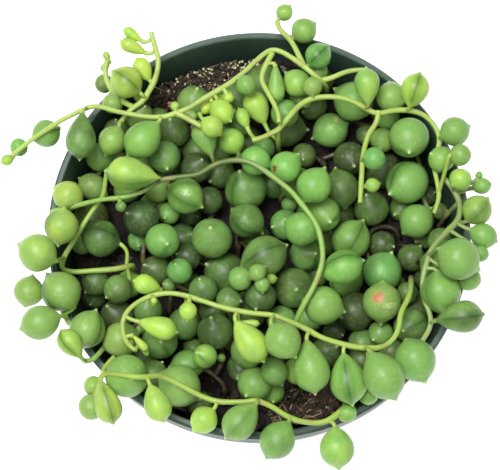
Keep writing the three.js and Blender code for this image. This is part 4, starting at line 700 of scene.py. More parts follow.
def free_places():
    """Seen places that no leaf covers yet, each with points over the peat behind it."""
    reach = np.arange(-SHADED_REACH, SHADED_REACH + 0.1, GRID_STEP)
    grid = np.array([(right, up) for right in reach for up in reach
                     if math.hypot(right, up) < SHADED_REACH])
    for right, up, wide, high in BARE_PEAT:
        grid = grid[np.hypot((grid[:, 0] - right) / wide, (grid[:, 1] - up) / high) > 1]
    lines = picture_centre + np.outer(grid[:, 0], view_right) + np.outer(grid[:, 1], view_up) - eye
    shares = (POT_HEIGHT + SHADED_HEIGHTS[None, :] - eye[2]) / lines[:, 2:]
    return grid, eye + lines[:, None, :] * shares[:, :, None]


def room_around(points):
    """How large a ball may be at each point, 0.6 mm into the crumbs and clear of the pot."""
    out = np.hypot(points[..., 0], points[..., 1])
    over_soil = points[..., 2] - SOIL_TOP - soil_relief(points[..., 0], points[..., 1]) + 0.6
    return np.minimum(over_soil, inside_radius(points[..., 2] - 4) - out - 0.2)


def take_away(room, grid, points, centre, radius, covers):
    """Makes the room smaller round a ball, and none in front of a leaf that has to be seen."""
    aside = np.hypot(*(grid - seen_at(centre)[0]).T)
    close = aside < radius + 8
    apart = np.linalg.norm(points[close] - centre, axis=2) - radius - 0.1
    room[close] = np.minimum(room[close], apart)
    if covers:
        in_front = (aside < radius + 3)[:, None] & (points[..., 2] > centre[2] - 1)
        room[in_front] = 0


def grow_shaded_leaves():
    """Puts the largest leaf that fits wherever peat would still show, until none fits."""
    dice = random.Random(21)
    grid, points = free_places()
    room = room_around(points)
    covered = np.zeros(len(grid), dtype=bool)
    for centre, radius, is_pearl in zip(laid["centre"], laid["radius"], laid["is_pearl"]):
        take_away(room, grid, points, centre, radius, is_pearl and radius > 1.5)
        if is_pearl:
            covered |= np.hypot(*(grid - seen_at(centre)[0]).T) < COVERING * radius
    low, high = SHADED_WIDTHS
    wanted = np.array([dice.uniform(0.75 * high, high) / 2 for _ in grid])
    leaves = []
    while True:
        largest = np.minimum(room, wanted[:, None])
        largest[covered] = 0
        spot, level = np.unravel_index(np.argmax(largest), largest.shape)
        half = largest[spot, level]
        if half < low / 2:
            return leaves
        # Their tone is low and rises with height: painted shade, darker the deeper a leaf lies
        leaf = {"at": tuple(grid[spot]), "width": 2 * half, "half": half, "long": 1, "roll": None,
                "tone": dice.uniform(2, 3.4) + 0.05 * level, "centre": points[spot, level]}
        lean = dice.uniform(0, 2 * math.pi)
        leaf["axis"] = view_vector(math.cos(lean), math.sin(lean), dice.uniform(0.1, 1.6))
        leaf["neck"] = leaf["centre"] - base_reach(leaf) * half * leaf["axis"]
        leaf["root"] = leaf["neck"].copy()
        leaf["root"][2] = SOIL_TOP + soil_relief(*leaf["root"][:2]) + 0.3
        take_away(room, grid, points, leaf["centre"], half, False)
        covered |= np.hypot(*(grid - grid[spot]).T) < COVERING * half
        leaves.append(leaf)


shaded = grow_shaded_leaves()
widths = np.percentile([leaf["width"] for leaf in shaded], [0, 50, 100])
print("grown", len(shaded), "shaded leaves, widths", [round(width, 1) for width in widths])

# %% Join neighbouring shaded leaves by creeping stems
def creeping_stems(leaves, longest=13, most=9):
    """Chains of leaves, each one near the last, with a stem drawn through their roots."""
    left = sorted(leaves, key=lambda leaf: leaf["root"][0])
    strings = []
    while left:
        chain = [left.pop(0)]
        while left and len(chain) < most:
            apart = [np.linalg.norm(leaf["root"] - chain[-1]["root"]) for leaf in left]
            nearest = int(np.argmin(apart))
            if apart[nearest] > longest:
                break
            chain.append(left.pop(nearest))
        route = [chain[0]["root"] - [0, 0, 4]] + [leaf["root"] for leaf in chain]
        strings.append({"curves": [smooth_curve(route)], "laid": chain})
    return strings


creeping = creeping_stems(shaded)
print("on", len(creeping), "creeping stems")

# %% [markdown]
# ## The leaf
# A pearl is a leaf that has closed into a ball to keep water. It is drawn out at the stalk, full
# in the middle, and ends in a short point. One coarse cage holds that form, subdivision rounds it,
# and every leaf on the plant is a copy with its own length, width and direction.

# %% Model the leaf's cage from a sphere
MM = 0.001
LEVELS = 2
SEVENTH = math.pi / 7
# Ring number counted from the tip, and its height and its radius in half widths. They reach
# past the leaf's own ends, because subdivision draws the cage in.
LEAF_RINGS = [(0, 1.30, None), (1, 1.0, 0.13), (2, 0.82, 0.66), (3, 0.27, 1.10),
              (7, -1.2, None), (6, -1.04, 0.17), (5, -0.84, 0.66), (4, -0.38, 1.11)]


def deselect_all():
    """Leaves nothing selected, so that an operator works on the new piece alone."""
    bpy.ops.object.select_all(action="DESELECT")


def edit(on):
    """Goes into edit mode or out of it."""
    bpy.ops.object.mode_set(mode="EDIT" if on else "OBJECT")


def select_ring(mesh, height):
    """Selects those points of the mesh in edit mode that lie at a height."""
    bpy.ops.mesh.select_all(action="DESELECT")
    for point in bmesh.from_edit_mesh(mesh).verts:
        point.select_set(abs(point.co.z - height) < 0.02)
    bmesh.update_edit_mesh(mesh)


deselect_all()
bpy.ops.mesh.primitive_uv_sphere_add(segments=8, ring_count=7, radius=1)
leaf_cage = bpy.context.object
leaf_cage.name = "leaf_cage"
edit(True)
bpy.ops.mesh.select_mode(type="VERT")
for ring, height, radius in LEAF_RINGS:
    start = math.cos(ring * SEVENTH)
    select_ring(leaf_cage.data, start)
    if radius:
        wider = radius / math.sin(ring * SEVENTH)
        bpy.ops.transform.resize(value=(wider, wider, 1))
    bpy.ops.transform.translate(value=(0, 0, height - start))
edit(False)
bpy.ops.object.shade_smooth()
print("leaf cage:", len(leaf_cage.data.polygons), "faces")

# %% [markdown]
# ## The strings
# Each leafy stem grew as one piece, so its stems, stalks and leaves are joined into one object.
# The stems are round curves that get thinner towards their tips. A stalk leaves its stem, bends
# and widens into its leaf.

# %% Copy the leaf to a place on a string
def stamp(mesh, name, value):
    """Gives every point of a mesh a value of an attribute, the same for all or one for each."""
    attribute = mesh.attributes.new(name, "FLOAT", "POINT")
    attribute.data.foreach_set("value", np.zeros(len(mesh.vertices), dtype=np.float32) + value)


# Where leaves have yellowed in the sun and where they are fresh and bluish: right, up, radius
SUNNED = [(-36, 35, 13), (-47, 6, 9), (-54, -9, 8), (-38, -26, 9), (-41.5, -41, 6), (-19, -40, 5),
          (31.75, -18.25, 3), (12.75, 36.25, 3), (-16, 32.5, 4), (33, 33, 4), (11.5, 18.75, 3),
          (-25, 10.25, 2), (44.75, 5, 3), (55, 5.5, 3)]
FRESH = [(-22, -1, 9.5), (-6.75, 22, 3), (14.25, 11.75, 3), (3, 17, 6), (8, 1, 5), (24, -11.5, 8),
         (0.5, -16.75, 3), (29, 18, 3), (-59.75, 21, 4), (15, 44, 3)]
# How far sun and shade turn a leaf from the middle, and how far leaves differ by chance
TURNED, BY_CHANCE = 0.38, 0.12


def warmth(pearl, dice):
    """How yellow a leaf is: 0 is bluish green, 1 is olive."""
    in_sun, in_shade = (any(math.dist(pearl["at"], spot[:2]) < spot[2] for spot in spots)
                        for spots in (SUNNED, FRESH))
    return 0.5 + TURNED * in_sun - TURNED * in_shade + dice.uniform(-BY_CHANCE, BY_CHANCE)


# A leaf that is this much longer than wide has narrowed the most towards its stalk
LONG_LEAF, NARROWED = 0.35, 0.42
# Leaves differ this much in breadth and in tone, and turn their windows away by these angles
UNEVEN, TONE_CHANCE, TURNED_AWAY = 0.03, 0.025, (100, 260)


def points_of(mesh):
    """The places of a mesh's points, one row each."""
    points = np.empty(3 * len(mesh.vertices))
    mesh.vertices.foreach_get("co", points)
    return points.reshape(-1, 3)


def leaf_copy(pearl, dice):
    """A leaf in its place. Its window lies at the roll towards the eye, or else turned away."""
    mesh = leaf_cage.data.copy()
    points = points_of(mesh)
    stretch = base_reach(pearl) / BASE_REACH
    drawn_out = min(1, (pearl["long"] - 1) / LONG_LEAF)
    share = np.clip(-points[:, 2] / BASE_REACH, 0, 1)
    points[:, :2] *= (1 - NARROWED * drawn_out * share)[:, None]
    points[:, 2] = np.where(points[:, 2] < 0, points[:, 2] * stretch, points[:, 2])
    front = view_back - pearl["axis"] * (view_back @ pearl["axis"])
    front = front / max(np.linalg.norm(front), 1e-6)
    side = np.cross(pearl["axis"], front)
    roll = pearl["roll"] if pearl["roll"] is not None else dice.uniform(*TURNED_AWAY)
    turn = math.radians(roll)
    window = front * math.cos(turn) + side * math.sin(turn)
    across = np.cross(pearl["axis"], window)
    broad, deep = (dice.uniform(1 - UNEVEN, 1 + UNEVEN) for _ in range(2))
    grow = pearl["half"] * np.array([broad, deep, 1])
    frame_of_leaf = np.stack([window, across, pearl["axis"]])
    points = (points * grow) @ frame_of_leaf + pearl["centre"]
    mesh.vertices.foreach_set("co", (points * MM).ravel())
    stamp(mesh, "tone", pearl["tone"] / 10 + dice.uniform(-TONE_CHANCE, TONE_CHANCE))
    stamp(mesh, "chance", dice.random())
    stamp(mesh, "warmth", warmth(pearl, dice))
    leaf = bpy.data.objects.new("leaf", mesh)
    bpy.context.collection.objects.link(leaf)
    return leaf


# %% Draw the stems and the stalks of a string
# Subdivision draws a tube in to 0.85 of its radius, so that it is drawn thicker
TUBE_SWELL = 1 / 0.85
# Points along a stem and along a stalk lie this far apart
TUBE_STEP, STALK_STEP = 2.2, 1.3
# A stem is thicker by 0.14 mm where a leaf stands, and within 2.2 mm of there
SWELLING, SWELLING_REACH = 0.14, 2.2
# The long stems' own tones, from woody and olive to young and pale
STEM_TONES = {"leafy_stem_middle": 0.62, "leafy_stem_east_edge": 0.56, "leafy_stem_west": 0.66,
              "leafy_stem_front": 0.68, "leafy_stem_lower": 0.74, "leafy_stem_north": 0.74,
              "leafy_stem_upper": 0.8, "leafy_stem_young_shoot": 0.8}
# Where the middle stem is woody, how much darker it is there, and how far that reaches
WOODY_PLACE, WOODY_SHADE, WOODY_FADE = (-14, 14), 0.2, 12
# Painted shade at the feet: how much darker a foot is, how fast that fades in millimetres, and how far
# up it goes in such steps. The one at the west runs in full light.
FOOT_SHADE, FOOT_FADE, FOOT_REACH, SUNNY_FOOT_REACH = 0.45, 8, 2.5, 1.4


def add_thread(curve, points, radii):
    """Adds one thread to a curve object, with a radius at each of its points."""
    spline = curve.splines.new("POLY")
    spline.points.add(len(points) - 1)
    for spot, point, radius in zip(spline.points, points, radii):
        spot.co = (*(np.array(point) * MM), 1)
        spot.radius = radius * TUBE_SWELL


def stem_radii(points, roots):
    """Thick at the foot, thin at the tip, and a little swollen where a leaf stands."""
    radii = STEM_RADIUS * np.linspace(1.04, 0.82, len(points))
    nearest = np.min(np.linalg.norm(points[:, None] - roots[None], axis=2), axis=1)
    return radii + SWELLING * np.clip(1 - nearest / SWELLING_REACH, 0, 1)


def stalk_path(pearl, stem_points):
    """From the middle of the stem, out and round into the narrow end of the leaf."""
    root = stem_points[np.argmin(np.linalg.norm(stem_points - pearl["root"], axis=1))]
    neck, axis = pearl["neck"], pearl["axis"]
    reach = np.linalg.norm(neck - root)
    inside = neck + 0.3 * pearl["half"] * axis
    straight_on = max(0, (neck - root) @ axis / max(reach, 0.1))
    bend = neck - min(0.45 * reach, 0.6 * pearl["half"]) * axis
    bend = straight_on * bend + (1 - straight_on) * (root + neck) / 2
    path = smooth_curve([root, bend, neck, inside])
    points = spaced(path, STALK_STEP)
    share = np.linspace(0, 1, len(points))
    return points, STALK_RADIUS * (1.1 - 0.25 * np.sin(math.pi * share) + 0.25 * share)


def stem_tone(mesh, name, string):
    """Each point's tone: the string's own, darker where the middle stem is woody, and darker near its
    foot as painted shade.
    """
    points = points_of(mesh) / MM
    leaves = string["laid"]
    # A stem without its own tone, such as a creeping one, takes its leaves' mean tone and with it their
    # painted shade
    tone = STEM_TONES.get(name, sum(leaf["tone"] for leaf in leaves) / len(leaves) / 10)
    from_foot = np.linalg.norm(points - string["curves"][0][0] - [0, 0, ROOT_DEPTH], axis=1)
    reach = SUNNY_FOOT_REACH if name == "leafy_stem_west" else FOOT_REACH
    # Painted shade near the foot
    tone = tone - FOOT_SHADE * np.clip(reach - from_foot / FOOT_FADE, 0, 1)
    if name == "leafy_stem_middle":
        from_woody = np.hypot(*(seen_at(points) - WOODY_PLACE).T)
        tone -= WOODY_SHADE * np.clip(1.6 - from_woody / WOODY_FADE, 0, 1)
    return tone


def make_string(string, name):
    """One object of a string's stems, stalks and leaves."""
    dice = random.Random(name)
    deselect_all()
    bpy.ops.curve.primitive_nurbs_path_add()
    threads = bpy.context.object
    threads.name = name
    curve = threads.data
    curve.splines.clear()
    curve.dimensions = "3D"
    curve.bevel_depth = MM
    curve.bevel_resolution = 1
    curve.use_fill_caps = True
    roots = np.array([pearl["root"] for pearl in string["laid"]])
    stem_points = np.concatenate([spaced(drawn, 0.4) for drawn in string["curves"]])
    for drawn in string["curves"]:
        points = spaced(drawn, TUBE_STEP)
        add_thread(curve, points, stem_radii(points, roots))
    for pearl in string["laid"]:
        add_thread(curve, *stalk_path(pearl, stem_points))
    bpy.ops.object.convert(target="MESH")
    threads = bpy.context.object
    stamp(threads.data, "tone", stem_tone(threads.data, name, string))
    threads.data.materials.append(stem_flesh)
    for pearl in string["laid"]:
        leaf = leaf_copy(pearl, dice)
        leaf.data.materials.append(leaf_flesh)
        leaf.select_set(True)
    bpy.ops.object.join()
    bpy.ops.object.transform_apply(location=True, rotation=True, scale=True)
    bpy.ops.object.shade_smooth()
    rounding = threads.modifiers.new("rounding", "SUBSURF")
    rounding.levels = rounding.render_levels = LEVELS
    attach(threads, "root")
    return threads


# %% [markdown]
# ## The finishes
# All colours are worked out from places on the pieces and from each leaf's tone, which holds its own
# colour and painted shade, so nothing is painted on from a picture. Every pattern's scale is one over
# the real size that it shows.

# %% Make colours and shader nodes in one way
def linear(hex_colour):
    """A hex colour as the linear values that the renderer works with."""
    parts = [int(hex_colour[i:i + 2], 16) / 255 for i in (1, 3, 5)]
    return (*(c / 12.92 if c <= 0.04045 else ((c + 0.055) / 1.055) ** 2.4 for c in parts), 1)


def add(tree, kind, settings=None, inputs=None, stops=()):
    """Adds a node with its settings, its inputs set or linked, and the colours of its ramp."""
    made = tree.nodes.new("ShaderNode" + kind)
    for key, value in (settings or {}).items():
        setattr(made, key, value)
    for key, value in (inputs or {}).items():
        if isinstance(value, bpy.types.Node):
            value = next(socket for socket in value.outputs if not socket.is_unavailable)
        if isinstance(value, bpy.types.NodeSocket):
            tree.links.new(value, made.inputs[key])
        else:
            made.inputs[key].default_value = value
    for number, (position, colour) in enumerate(stops):
        elements = made.color_ramp.elements
        element = elements[number] if number < len(elements) else elements.new(position)
        element.position, element.color = position, linear(colour)
    return made


def new_material(name):
    """A material with an empty node tree."""
    material = bpy.data.materials.new(name)
    material.use_nodes = True
    material.node_tree.nodes.clear()
    return material, material.node_tree


TIMES, PLUS = {"operation": "MULTIPLY"}, {"operation": "ADD"}
SMOOTH = {"interpolation_type": "SMOOTHSTEP"}
COLOUR_MIX = {"data_type": "RGBA"}

# %% [markdown]
# ### Succulent leaf skin
# A leaf is grown, not made: a thin waxy skin over clear watery tissue. Light goes some way in and comes
# out again, so the shading is soft, and the wax gives small blurred highlights. A dark line runs from
# the stalk to the tip, the window that lets light into the ball, with a darker see-through band beside
# it. The point and the stalk end are paler. Young leaves are lime and the deep ones dark green; that
# dark is partly their own colour and partly painted shade. No leaf is quite even.

# %% Work out the skin's base colour from each leaf's tone
# The low tones are partly painted shade: the deep leaves are darkened for the shade cast by the leaves
# over them
LEAF_TONES = [(0.18, "#40502c"), (0.32, "#57733a"), (0.42, "#6a904b"), (0.52, "#77a353"),
              (0.62, "#789f4f"), (0.72, "#80ac52"), (0.82, "#98bb53"), (0.92, "#a8cb50")]
leaf_flesh, tree = new_material("succulent_leaf_skin")
tone = add(tree, "Attribute", {"attribute_name": "tone"}).outputs["Fac"]
chance = add(tree, "Attribute", {"attribute_name": "chance"}).outputs["Fac"]
where = add(tree, "TexCoord").outputs["Object"]
# Pale clouds of 5 mm and a grain of 1 mm in the flesh
clouds = add(tree, "TexNoise", inputs={"Vector": where, "Scale": 1 / (5 * MM), "Detail": 2.0})
grain = add(tree, "TexNoise", inputs={"Vector": where, "Scale": 1 / (1 * MM), "Detail": 2.0})
drift = add(tree, "Math", {"operation": "MULTIPLY_ADD"}, {0: clouds, 1: 0.35, 2: -0.175})
tone_here = add(tree, "Math", PLUS, {0: tone, 1: drift})
base = add(tree, "ValToRGB", inputs={"Fac": tone_here}, stops=LEAF_TONES)
# Sunned leaves turn yellow olive, up to 9 degrees of hue, and fresh ones a little bluish
warm = add(tree, "Attribute", {"attribute_name": "warmth"}).outputs["Fac"]
hue = add(tree, "MapRange", None, {0: warm, 1: 0.0, 2: 1.0, 3: 0.522, 4: 0.476})
base = add(tree, "HueSaturation", inputs={"Hue": hue, "Color": base})
speckle = add(tree, "MapRange", SMOOTH, {0: grain, 1: 0.5, 2: 0.8, 3: 0.0, 4: 0.14})
base = add(tree, "Mix", COLOUR_MIX, {0: speckle, 6: base, 7: linear("#d6e6a2")})

# %% Draw the window, the pale point and the pale stalk end
# The cage's UV runs once round the leaf, with the window halfway, and from its stalk to its tip
uv = add(tree, "SeparateXYZ", inputs={0: add(tree, "TexCoord").outputs["UV"]})
around, lengthwise = uv.outputs[0], uv.outputs[1]
turned = add(tree, "Math", PLUS, {0: around, 1: 0.5})
off_line = add(tree, "Math", {"operation": "PINGPONG"}, {0: turned, 1: 0.5})
from_stalk = add(tree, "MapRange", SMOOTH, {0: lengthwise, 1: 0.16, 2: 0.34})
to_tip = add(tree, "MapRange", SMOOTH, {0: lengthwise, 1: 0.78, 2: 0.9, 3: 1.0, 4: 0.0})
on_belly = add(tree, "Math", TIMES, {0: from_stalk, 1: to_tip})
# The line is about 0.6 mm wide and the band 3 mm, on a leaf that measures 30 mm round
for wide, narrow, cover, sharpest, colour in (
        (0.11, 0.02, 0.5, 0.35, "#6c9459"), (0.024, 0.002, 0.5, 0.6, "#44672f")):
    beside = add(tree, "MapRange", SMOOTH, {0: off_line, 1: narrow, 2: wide, 3: cover, 4: 0.0})
    drawn = add(tree, "Math", TIMES, {0: beside, 1: on_belly})
    how_clear = add(tree, "MapRange", SMOOTH, {0: chance, 1: 0.1, 2: sharpest, 3: 0.25, 4: 1.0})
    drawn = add(tree, "Math", TIMES, {0: drawn, 1: how_clear})
    shade = add(tree, "Mix", {"data_type": "RGBA", "blend_type": "MULTIPLY"},
                {0: 1.0, 6: base, 7: linear(colour)})
    base = add(tree, "Mix", COLOUR_MIX, {0: drawn, 6: base, 7: shade})
point = add(tree, "MapRange", SMOOTH, {0: lengthwise, 1: 0.86, 2: 0.97, 3: 0.0, 4: 0.6})
base = add(tree, "Mix", COLOUR_MIX, {0: point, 6: base, 7: linear("#dcebaa")})
stalk_end = add(tree, "MapRange", SMOOTH, {0: lengthwise, 1: 0.03, 2: 0.16, 3: 0.6, 4: 0.0})
base = add(tree, "Mix", COLOUR_MIX, {0: stalk_end, 6: base, 7: linear("#b4cf6c")})
# The window is a very shallow dip in the skin, and the grain shows in the gloss
dip = add(tree, "MapRange", SMOOTH, {0: off_line, 1: 0.0, 2: 0.09, 3: 0.0, 4: 1.0})
dip = add(tree, "Math", {"operation": "MULTIPLY_ADD"}, {0: grain, 1: 0.1, 2: dip})
relief = add(tree, "Bump", inputs={"Strength": 0.12, "Distance": 0.2 * MM, "Height": dip})


# %% Put the old wounds and a painted highlight on the skin
def surface_point(right, up):
    """The point of the nearest top leaf that the eye sees at a place, in metres."""
    leaf = min((pearl for pearl in higher if math.dist(pearl["at"], (right, up)) < pearl["half"]),
               key=lambda pearl: -pearl["height"])
    across, along_up = right - leaf["at"][0], up - leaf["at"][1]
    towards = math.sqrt(max(0, leaf["half"] ** 2 - across ** 2 - along_up ** 2))
    spot = leaf["centre"] + across * view_right + along_up * view_up + towards * view_back
    return tuple(spot * MM)


# Corky patches and scratches, and at (-17.4, 9.4) a pale scar with a painted highlight on it: place,
# radius in millimetres, colour and how strongly it covers
WOUNDS_AND_HIGHLIGHT = [(29.75, -16.6, 1.7, "#b98a5c", 0.7), (29.6, -16.8, 1.0, "#b4573c", 0.75),
         (32.2, -19.3, 0.9, "#c9c98f", 0.5), (33.6, -18.6, 0.6, "#c9c98f", 0.4),
         (19.2, 27.9, 1.4, "#8c8a52", 0.6), (19.2, 27.9, 0.6, "#a9c27c", 0.8),
         (4.2, 15.6, 0.8, "#7f3526", 0.9), (-17.4, 9.4, 0.9, "#c9d8a4", 0.45)]
# Their ragged edges follow a noise of 0.6 mm
tatter = add(tree, "TexNoise", inputs={"Vector": where, "Scale": 1 / (0.6 * MM), "Detail": 3.0})
tatter = add(tree, "Math", {"operation": "MULTIPLY_ADD"}, {0: tatter, 1: 3.4 * MM, 2: -1.7 * MM})
for right, up, radius, colour, cover in WOUNDS_AND_HIGHLIGHT:
    apart = add(tree, "VectorMath", {"operation": "DISTANCE"},
                {0: where, 1: surface_point(right, up)})
    ragged = add(tree, "Math", PLUS, {0: apart.outputs["Value"], 1: tatter})
    inside = add(tree, "MapRange", SMOOTH,
                 {0: ragged, 1: 0.6 * radius * MM, 2: 1.3 * radius * MM, 3: cover, 4: 0.0})
    base = add(tree, "Mix", COLOUR_MIX, {0: inside, 6: base, 7: linear(colour)})
flesh = add(tree, "BsdfPrincipled", inputs={
    "Base Color": base, "Roughness": 0.4, "IOR": 1.4, "Subsurface Weight": 0.35,
    "Subsurface Radius": (0.7, 1.0, 0.25), "Subsurface Scale": 2.5 * MM, "Normal": relief})
add(tree, "OutputMaterial", inputs={"Surface": flesh})
print("leaf skin:", len(tree.nodes), "nodes")

# %% [markdown]
# ### Stem skin
# The stems are smooth and a little see-through when young, pale yellow green, and turn olive and then
# corky tan with age, in patches of a few millimetres. The dark olive brown end of their colours is also
# painted shade, at the stems' feet and on the creeping stems under the leaves.

# %% Make the stem skin
stem_flesh, tree = new_material("succulent_stem_skin")
age_and_shade = add(tree, "Attribute", {"attribute_name": "tone"}).outputs["Fac"]
where = add(tree, "TexCoord").outputs["Object"]
# The low end is old wood and also painted shade for the feet and the creeping stems
base = add(tree, "ValToRGB", inputs={"Fac": age_and_shade}, stops=[
    (0.1, "#37311f"), (0.28, "#4c4b2e"), (0.42, "#5b7037"), (0.56, "#899f5c"), (0.62, "#84aa50"),
    (0.68, "#96b14c"), (0.8, "#a4bb5f")])
# Corky patches of 4 mm
patches = add(tree, "TexNoise", inputs={"Vector": where, "Scale": 1 / (4 * MM), "Detail": 3.0})
corky = add(tree, "MapRange", SMOOTH, {0: patches, 1: 0.52, 2: 0.72, 3: 0.0, 4: 0.5})
base = add(tree, "Mix", COLOUR_MIX, {0: corky, 6: base, 7: linear("#968a52")})
wrinkles = add(tree, "Bump", inputs={"Strength": 0.3, "Distance": 0.1 * MM, "Height": patches})
flesh = add(tree, "BsdfPrincipled", inputs={
    "Base Color": base, "Roughness": 0.45, "Subsurface Weight": 0.25, "Normal": wrinkles,
    "Subsurface Radius": (0.7, 1.0, 0.3), "Subsurface Scale": 1 * MM})
add(tree, "OutputMaterial", inputs={"Surface": flesh})

# %% [markdown]
# ## The whole plant
# The buds and the youngest leaves are 1 to 4 mm wide and sit close to their stems, so they are
# noted by their two ends and join their strings here. Then each string and each creeping stem is
# built with both skins.

# %% Add the youngest leaves, too small for the solids
# String, stalk and tip as right and up, width, height over the rim and tone
YOUNG_LEAVES = [
    ("string_upper", (-10.25, 33.75), (-14.25, 29.25), 3.2, 6.8, 9),
    ("string_upper", (-10, 34.25), (-5.7, 33.2), 3.6, 6.6, 9),
    ("string_upper", (-9.8, 34), (-9.2, 30), 2.4, 7.5, 8.7),
    ("string_upper", (-13.5, 27), (-15, 29.9), 1.3, 6.5, 8.5),
    ("string_upper", (-8, 29), (-5.6, 30.4), 1.3, 7.5, 9),
    ("string_upper", (-20.3, 29.6), (-15.3, 29.2), 1.8, 4.2, 6.5),
    ("string_inner_centre", (0.9, -11.7), (1.2, -15.8), 3.9, 7.5, 6.5),
    ("string_lower", (-26.75, -16.5), (-26, -18.8), 1.5, 7.2, 9),
    ("string_lower", (-33, -26.8), (-31.2, -28.5), 1.6, 5.2, 8.5),
    ("string_lower", (-29.5, -28.2), (-27.4, -31.2), 1.7, 5, 8),
    ("string_lower", (-17.9, -16.4), (-18.6, -21.6), 1.6, 7, 8.5),
]
for name, start, tip, width, height, tone in YOUNG_LEAVES:
    start, tip, half = place(*start, height), place(*tip, height), width / 2
    length = np.linalg.norm(tip - start)
    axis = (tip - start) / length
    string = next(string for string in STRINGS if string["name"] == name)
    string["laid"].append({
        "at": tuple(seen_at((start + tip) / 2)[0]), "half": half, "tone": tone, "roll": 180,
        "long": 1 + max(0, length / half - TIP_REACH - BASE_REACH) / 2, "axis": axis,
        "centre": tip - TIP_REACH * half * axis, "neck": start, "root": start})
print("added", len(YOUNG_LEAVES), "young leaves")

# %% Build the strings and the creeping stems
leafy_stems = []
for string in STRINGS:
    piece = make_string(string, string["name"].replace("string", "leafy_stem"))
    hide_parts(string["name"])
    leafy_stems.append(piece)
for number, string in enumerate(creeping):
    leafy_stems.append(make_string(string, f"creeping_stem_{number + 1}"))
bpy.data.objects.remove(leaf_cage)
print("built", len(leafy_stems), "leafy stems,",
      sum(len(piece.data.polygons) for piece in leafy_stems), "cage faces")

# %% [markdown]
# ## The pot
# A thin dark green nursery pot, injection moulded from polypropylene in one piece: a tapered
# wall, a wider band at the top, a rolled lip and holes in the floor. Such plastic is satin rather
# than glossy, and splashes of potting mix leave a dull film on it in blotches.

# %% Make the pot's plastic
pot_plastic, tree = new_material("dusty_polypropylene")
where = add(tree, "TexCoord").outputs["Object"]
# Blotches of 16 mm, broken up by specks down to half a millimetre
film = add(tree, "TexNoise", inputs={
    "Vector": where, "Scale": 1 / (16 * MM), "Detail": 5.0, "Roughness": 0.7})
cover = add(tree, "MapRange", SMOOTH, {0: film, 1: 0.45, 2: 0.75, 3: 0.0, 4: 0.4})
base = add(tree, "Mix", COLOUR_MIX, {0: cover, 6: linear("#354c3f"), 7: linear("#64776a")})
dull = add(tree, "MapRange", SMOOTH, {0: film, 1: 0.3, 2: 0.8, 3: 0.35, 4: 0.6})
# The moulded skin has a fine orange peel of 0.7 mm
peel = add(tree, "TexNoise", inputs={"Vector": where, "Scale": 1 / (0.7 * MM), "Detail": 1.0})
peel = add(tree, "Bump", inputs={"Strength": 0.15, "Distance": 0.1 * MM, "Height": peel})
plastic = add(tree, "BsdfPrincipled", inputs={
    "Base Color": base, "Roughness": dull, "IOR": 1.49, "Normal": peel})
add(tree, "OutputMaterial", inputs={"Surface": plastic})

# %% Draw the pot's wall up, over the lip and down inside
band_foot = POT_HEIGHT - BAND_HEIGHT
band_radius = RIM_RADIUS - LIP_REACH
wall_top = band_radius - BAND_STEP
lip_foot = POT_HEIGHT - LIP_HEIGHT
LIP_EDGE = 0.6
# Radius and height of each corner
POT_PROFILE = [
    (BASE_RADIUS - 1, 0), (BASE_RADIUS, 1), (wall_top, band_foot), (band_radius, band_foot + 1),
    (band_radius, lip_foot), (RIM_RADIUS, lip_foot + LIP_EDGE), (RIM_RADIUS, POT_HEIGHT - LIP_EDGE),
    (RIM_RADIUS - LIP_EDGE, POT_HEIGHT), (band_radius - WALL + LIP_EDGE / 2, POT_HEIGHT),
    (band_radius - WALL, POT_HEIGHT - LIP_EDGE / 2), (BASE_RADIUS - WALL, FLOOR),
]
deselect_all()
bpy.ops.mesh.primitive_circle_add(vertices=128, radius=POT_PROFILE[0][0] * MM, fill_type="NGON")
pot = bpy.context.object
pot.name = "nursery_pot"
edit(True)
bpy.ops.mesh.select_all(action="SELECT")
for (radius, height), (next_radius, next_height) in zip(POT_PROFILE, POT_PROFILE[1:]):
    bpy.ops.mesh.extrude_region_move(
        TRANSFORM_OT_translate={"value": (0, 0, (next_height - height) * MM)})
    bpy.ops.transform.resize(value=(next_radius / radius, next_radius / radius, 1))
bpy.ops.mesh.select_all(action="SELECT")
bpy.ops.mesh.normals_make_consistent(inside=False)
edit(False)

# %% Drill the drain holes and smooth the wall
DRAIN_HOLES, DRAIN_RADIUS, DRAIN_CIRCLE = 6, 3.5, 27
deselect_all()
drills = []
for hole in range(DRAIN_HOLES):
    angle = 2 * math.pi * hole / DRAIN_HOLES
    bpy.ops.mesh.primitive_cylinder_add(
        vertices=32, radius=DRAIN_RADIUS * MM, depth=6 * MM, location=(
            DRAIN_CIRCLE * MM * math.cos(angle), DRAIN_CIRCLE * MM * math.sin(angle),
            FLOOR / 2 * MM))
    drills.append(bpy.context.object)
for drill in drills:
    drill.select_set(True)
bpy.ops.object.join()
drill = bpy.context.object
cut = pot.modifiers.new("drain_holes", "BOOLEAN")
cut.operation = "DIFFERENCE"
cut.object = drill
deselect_all()
pot.select_set(True)
bpy.context.view_layer.objects.active = pot
bpy.ops.object.modifier_apply(modifier="drain_holes")
bpy.data.objects.remove(drill)
bpy.ops.object.shade_smooth_by_angle(angle=math.radians(32))
pot.data.materials.append(pot_plastic)
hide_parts("pot")
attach(pot, "root")
print("pot:", len(pot.data.polygons), "faces")

# %% [markdown]
# ## The soil and what lies on it
# Potting mix is dark sphagnum peat with bits of bark, tan fibres and a little white perlite. The
# soil's solid carries the relief, and loose crumbs, fibres and grains are strewn over it, because
# a bump alone would leave the peat looking like paint.

# %% Make the finishes of the soil and its litter
# Painted shade: the soil and its litter keep their colour at the open places at the back and the front,
# and are darkened to a quarter, nearly black, where the leaves shade them
UNSHADED_PLACES = [(-16, 38, 26), (12, -41, 14)]
PAINTED_SHADE = 0.25


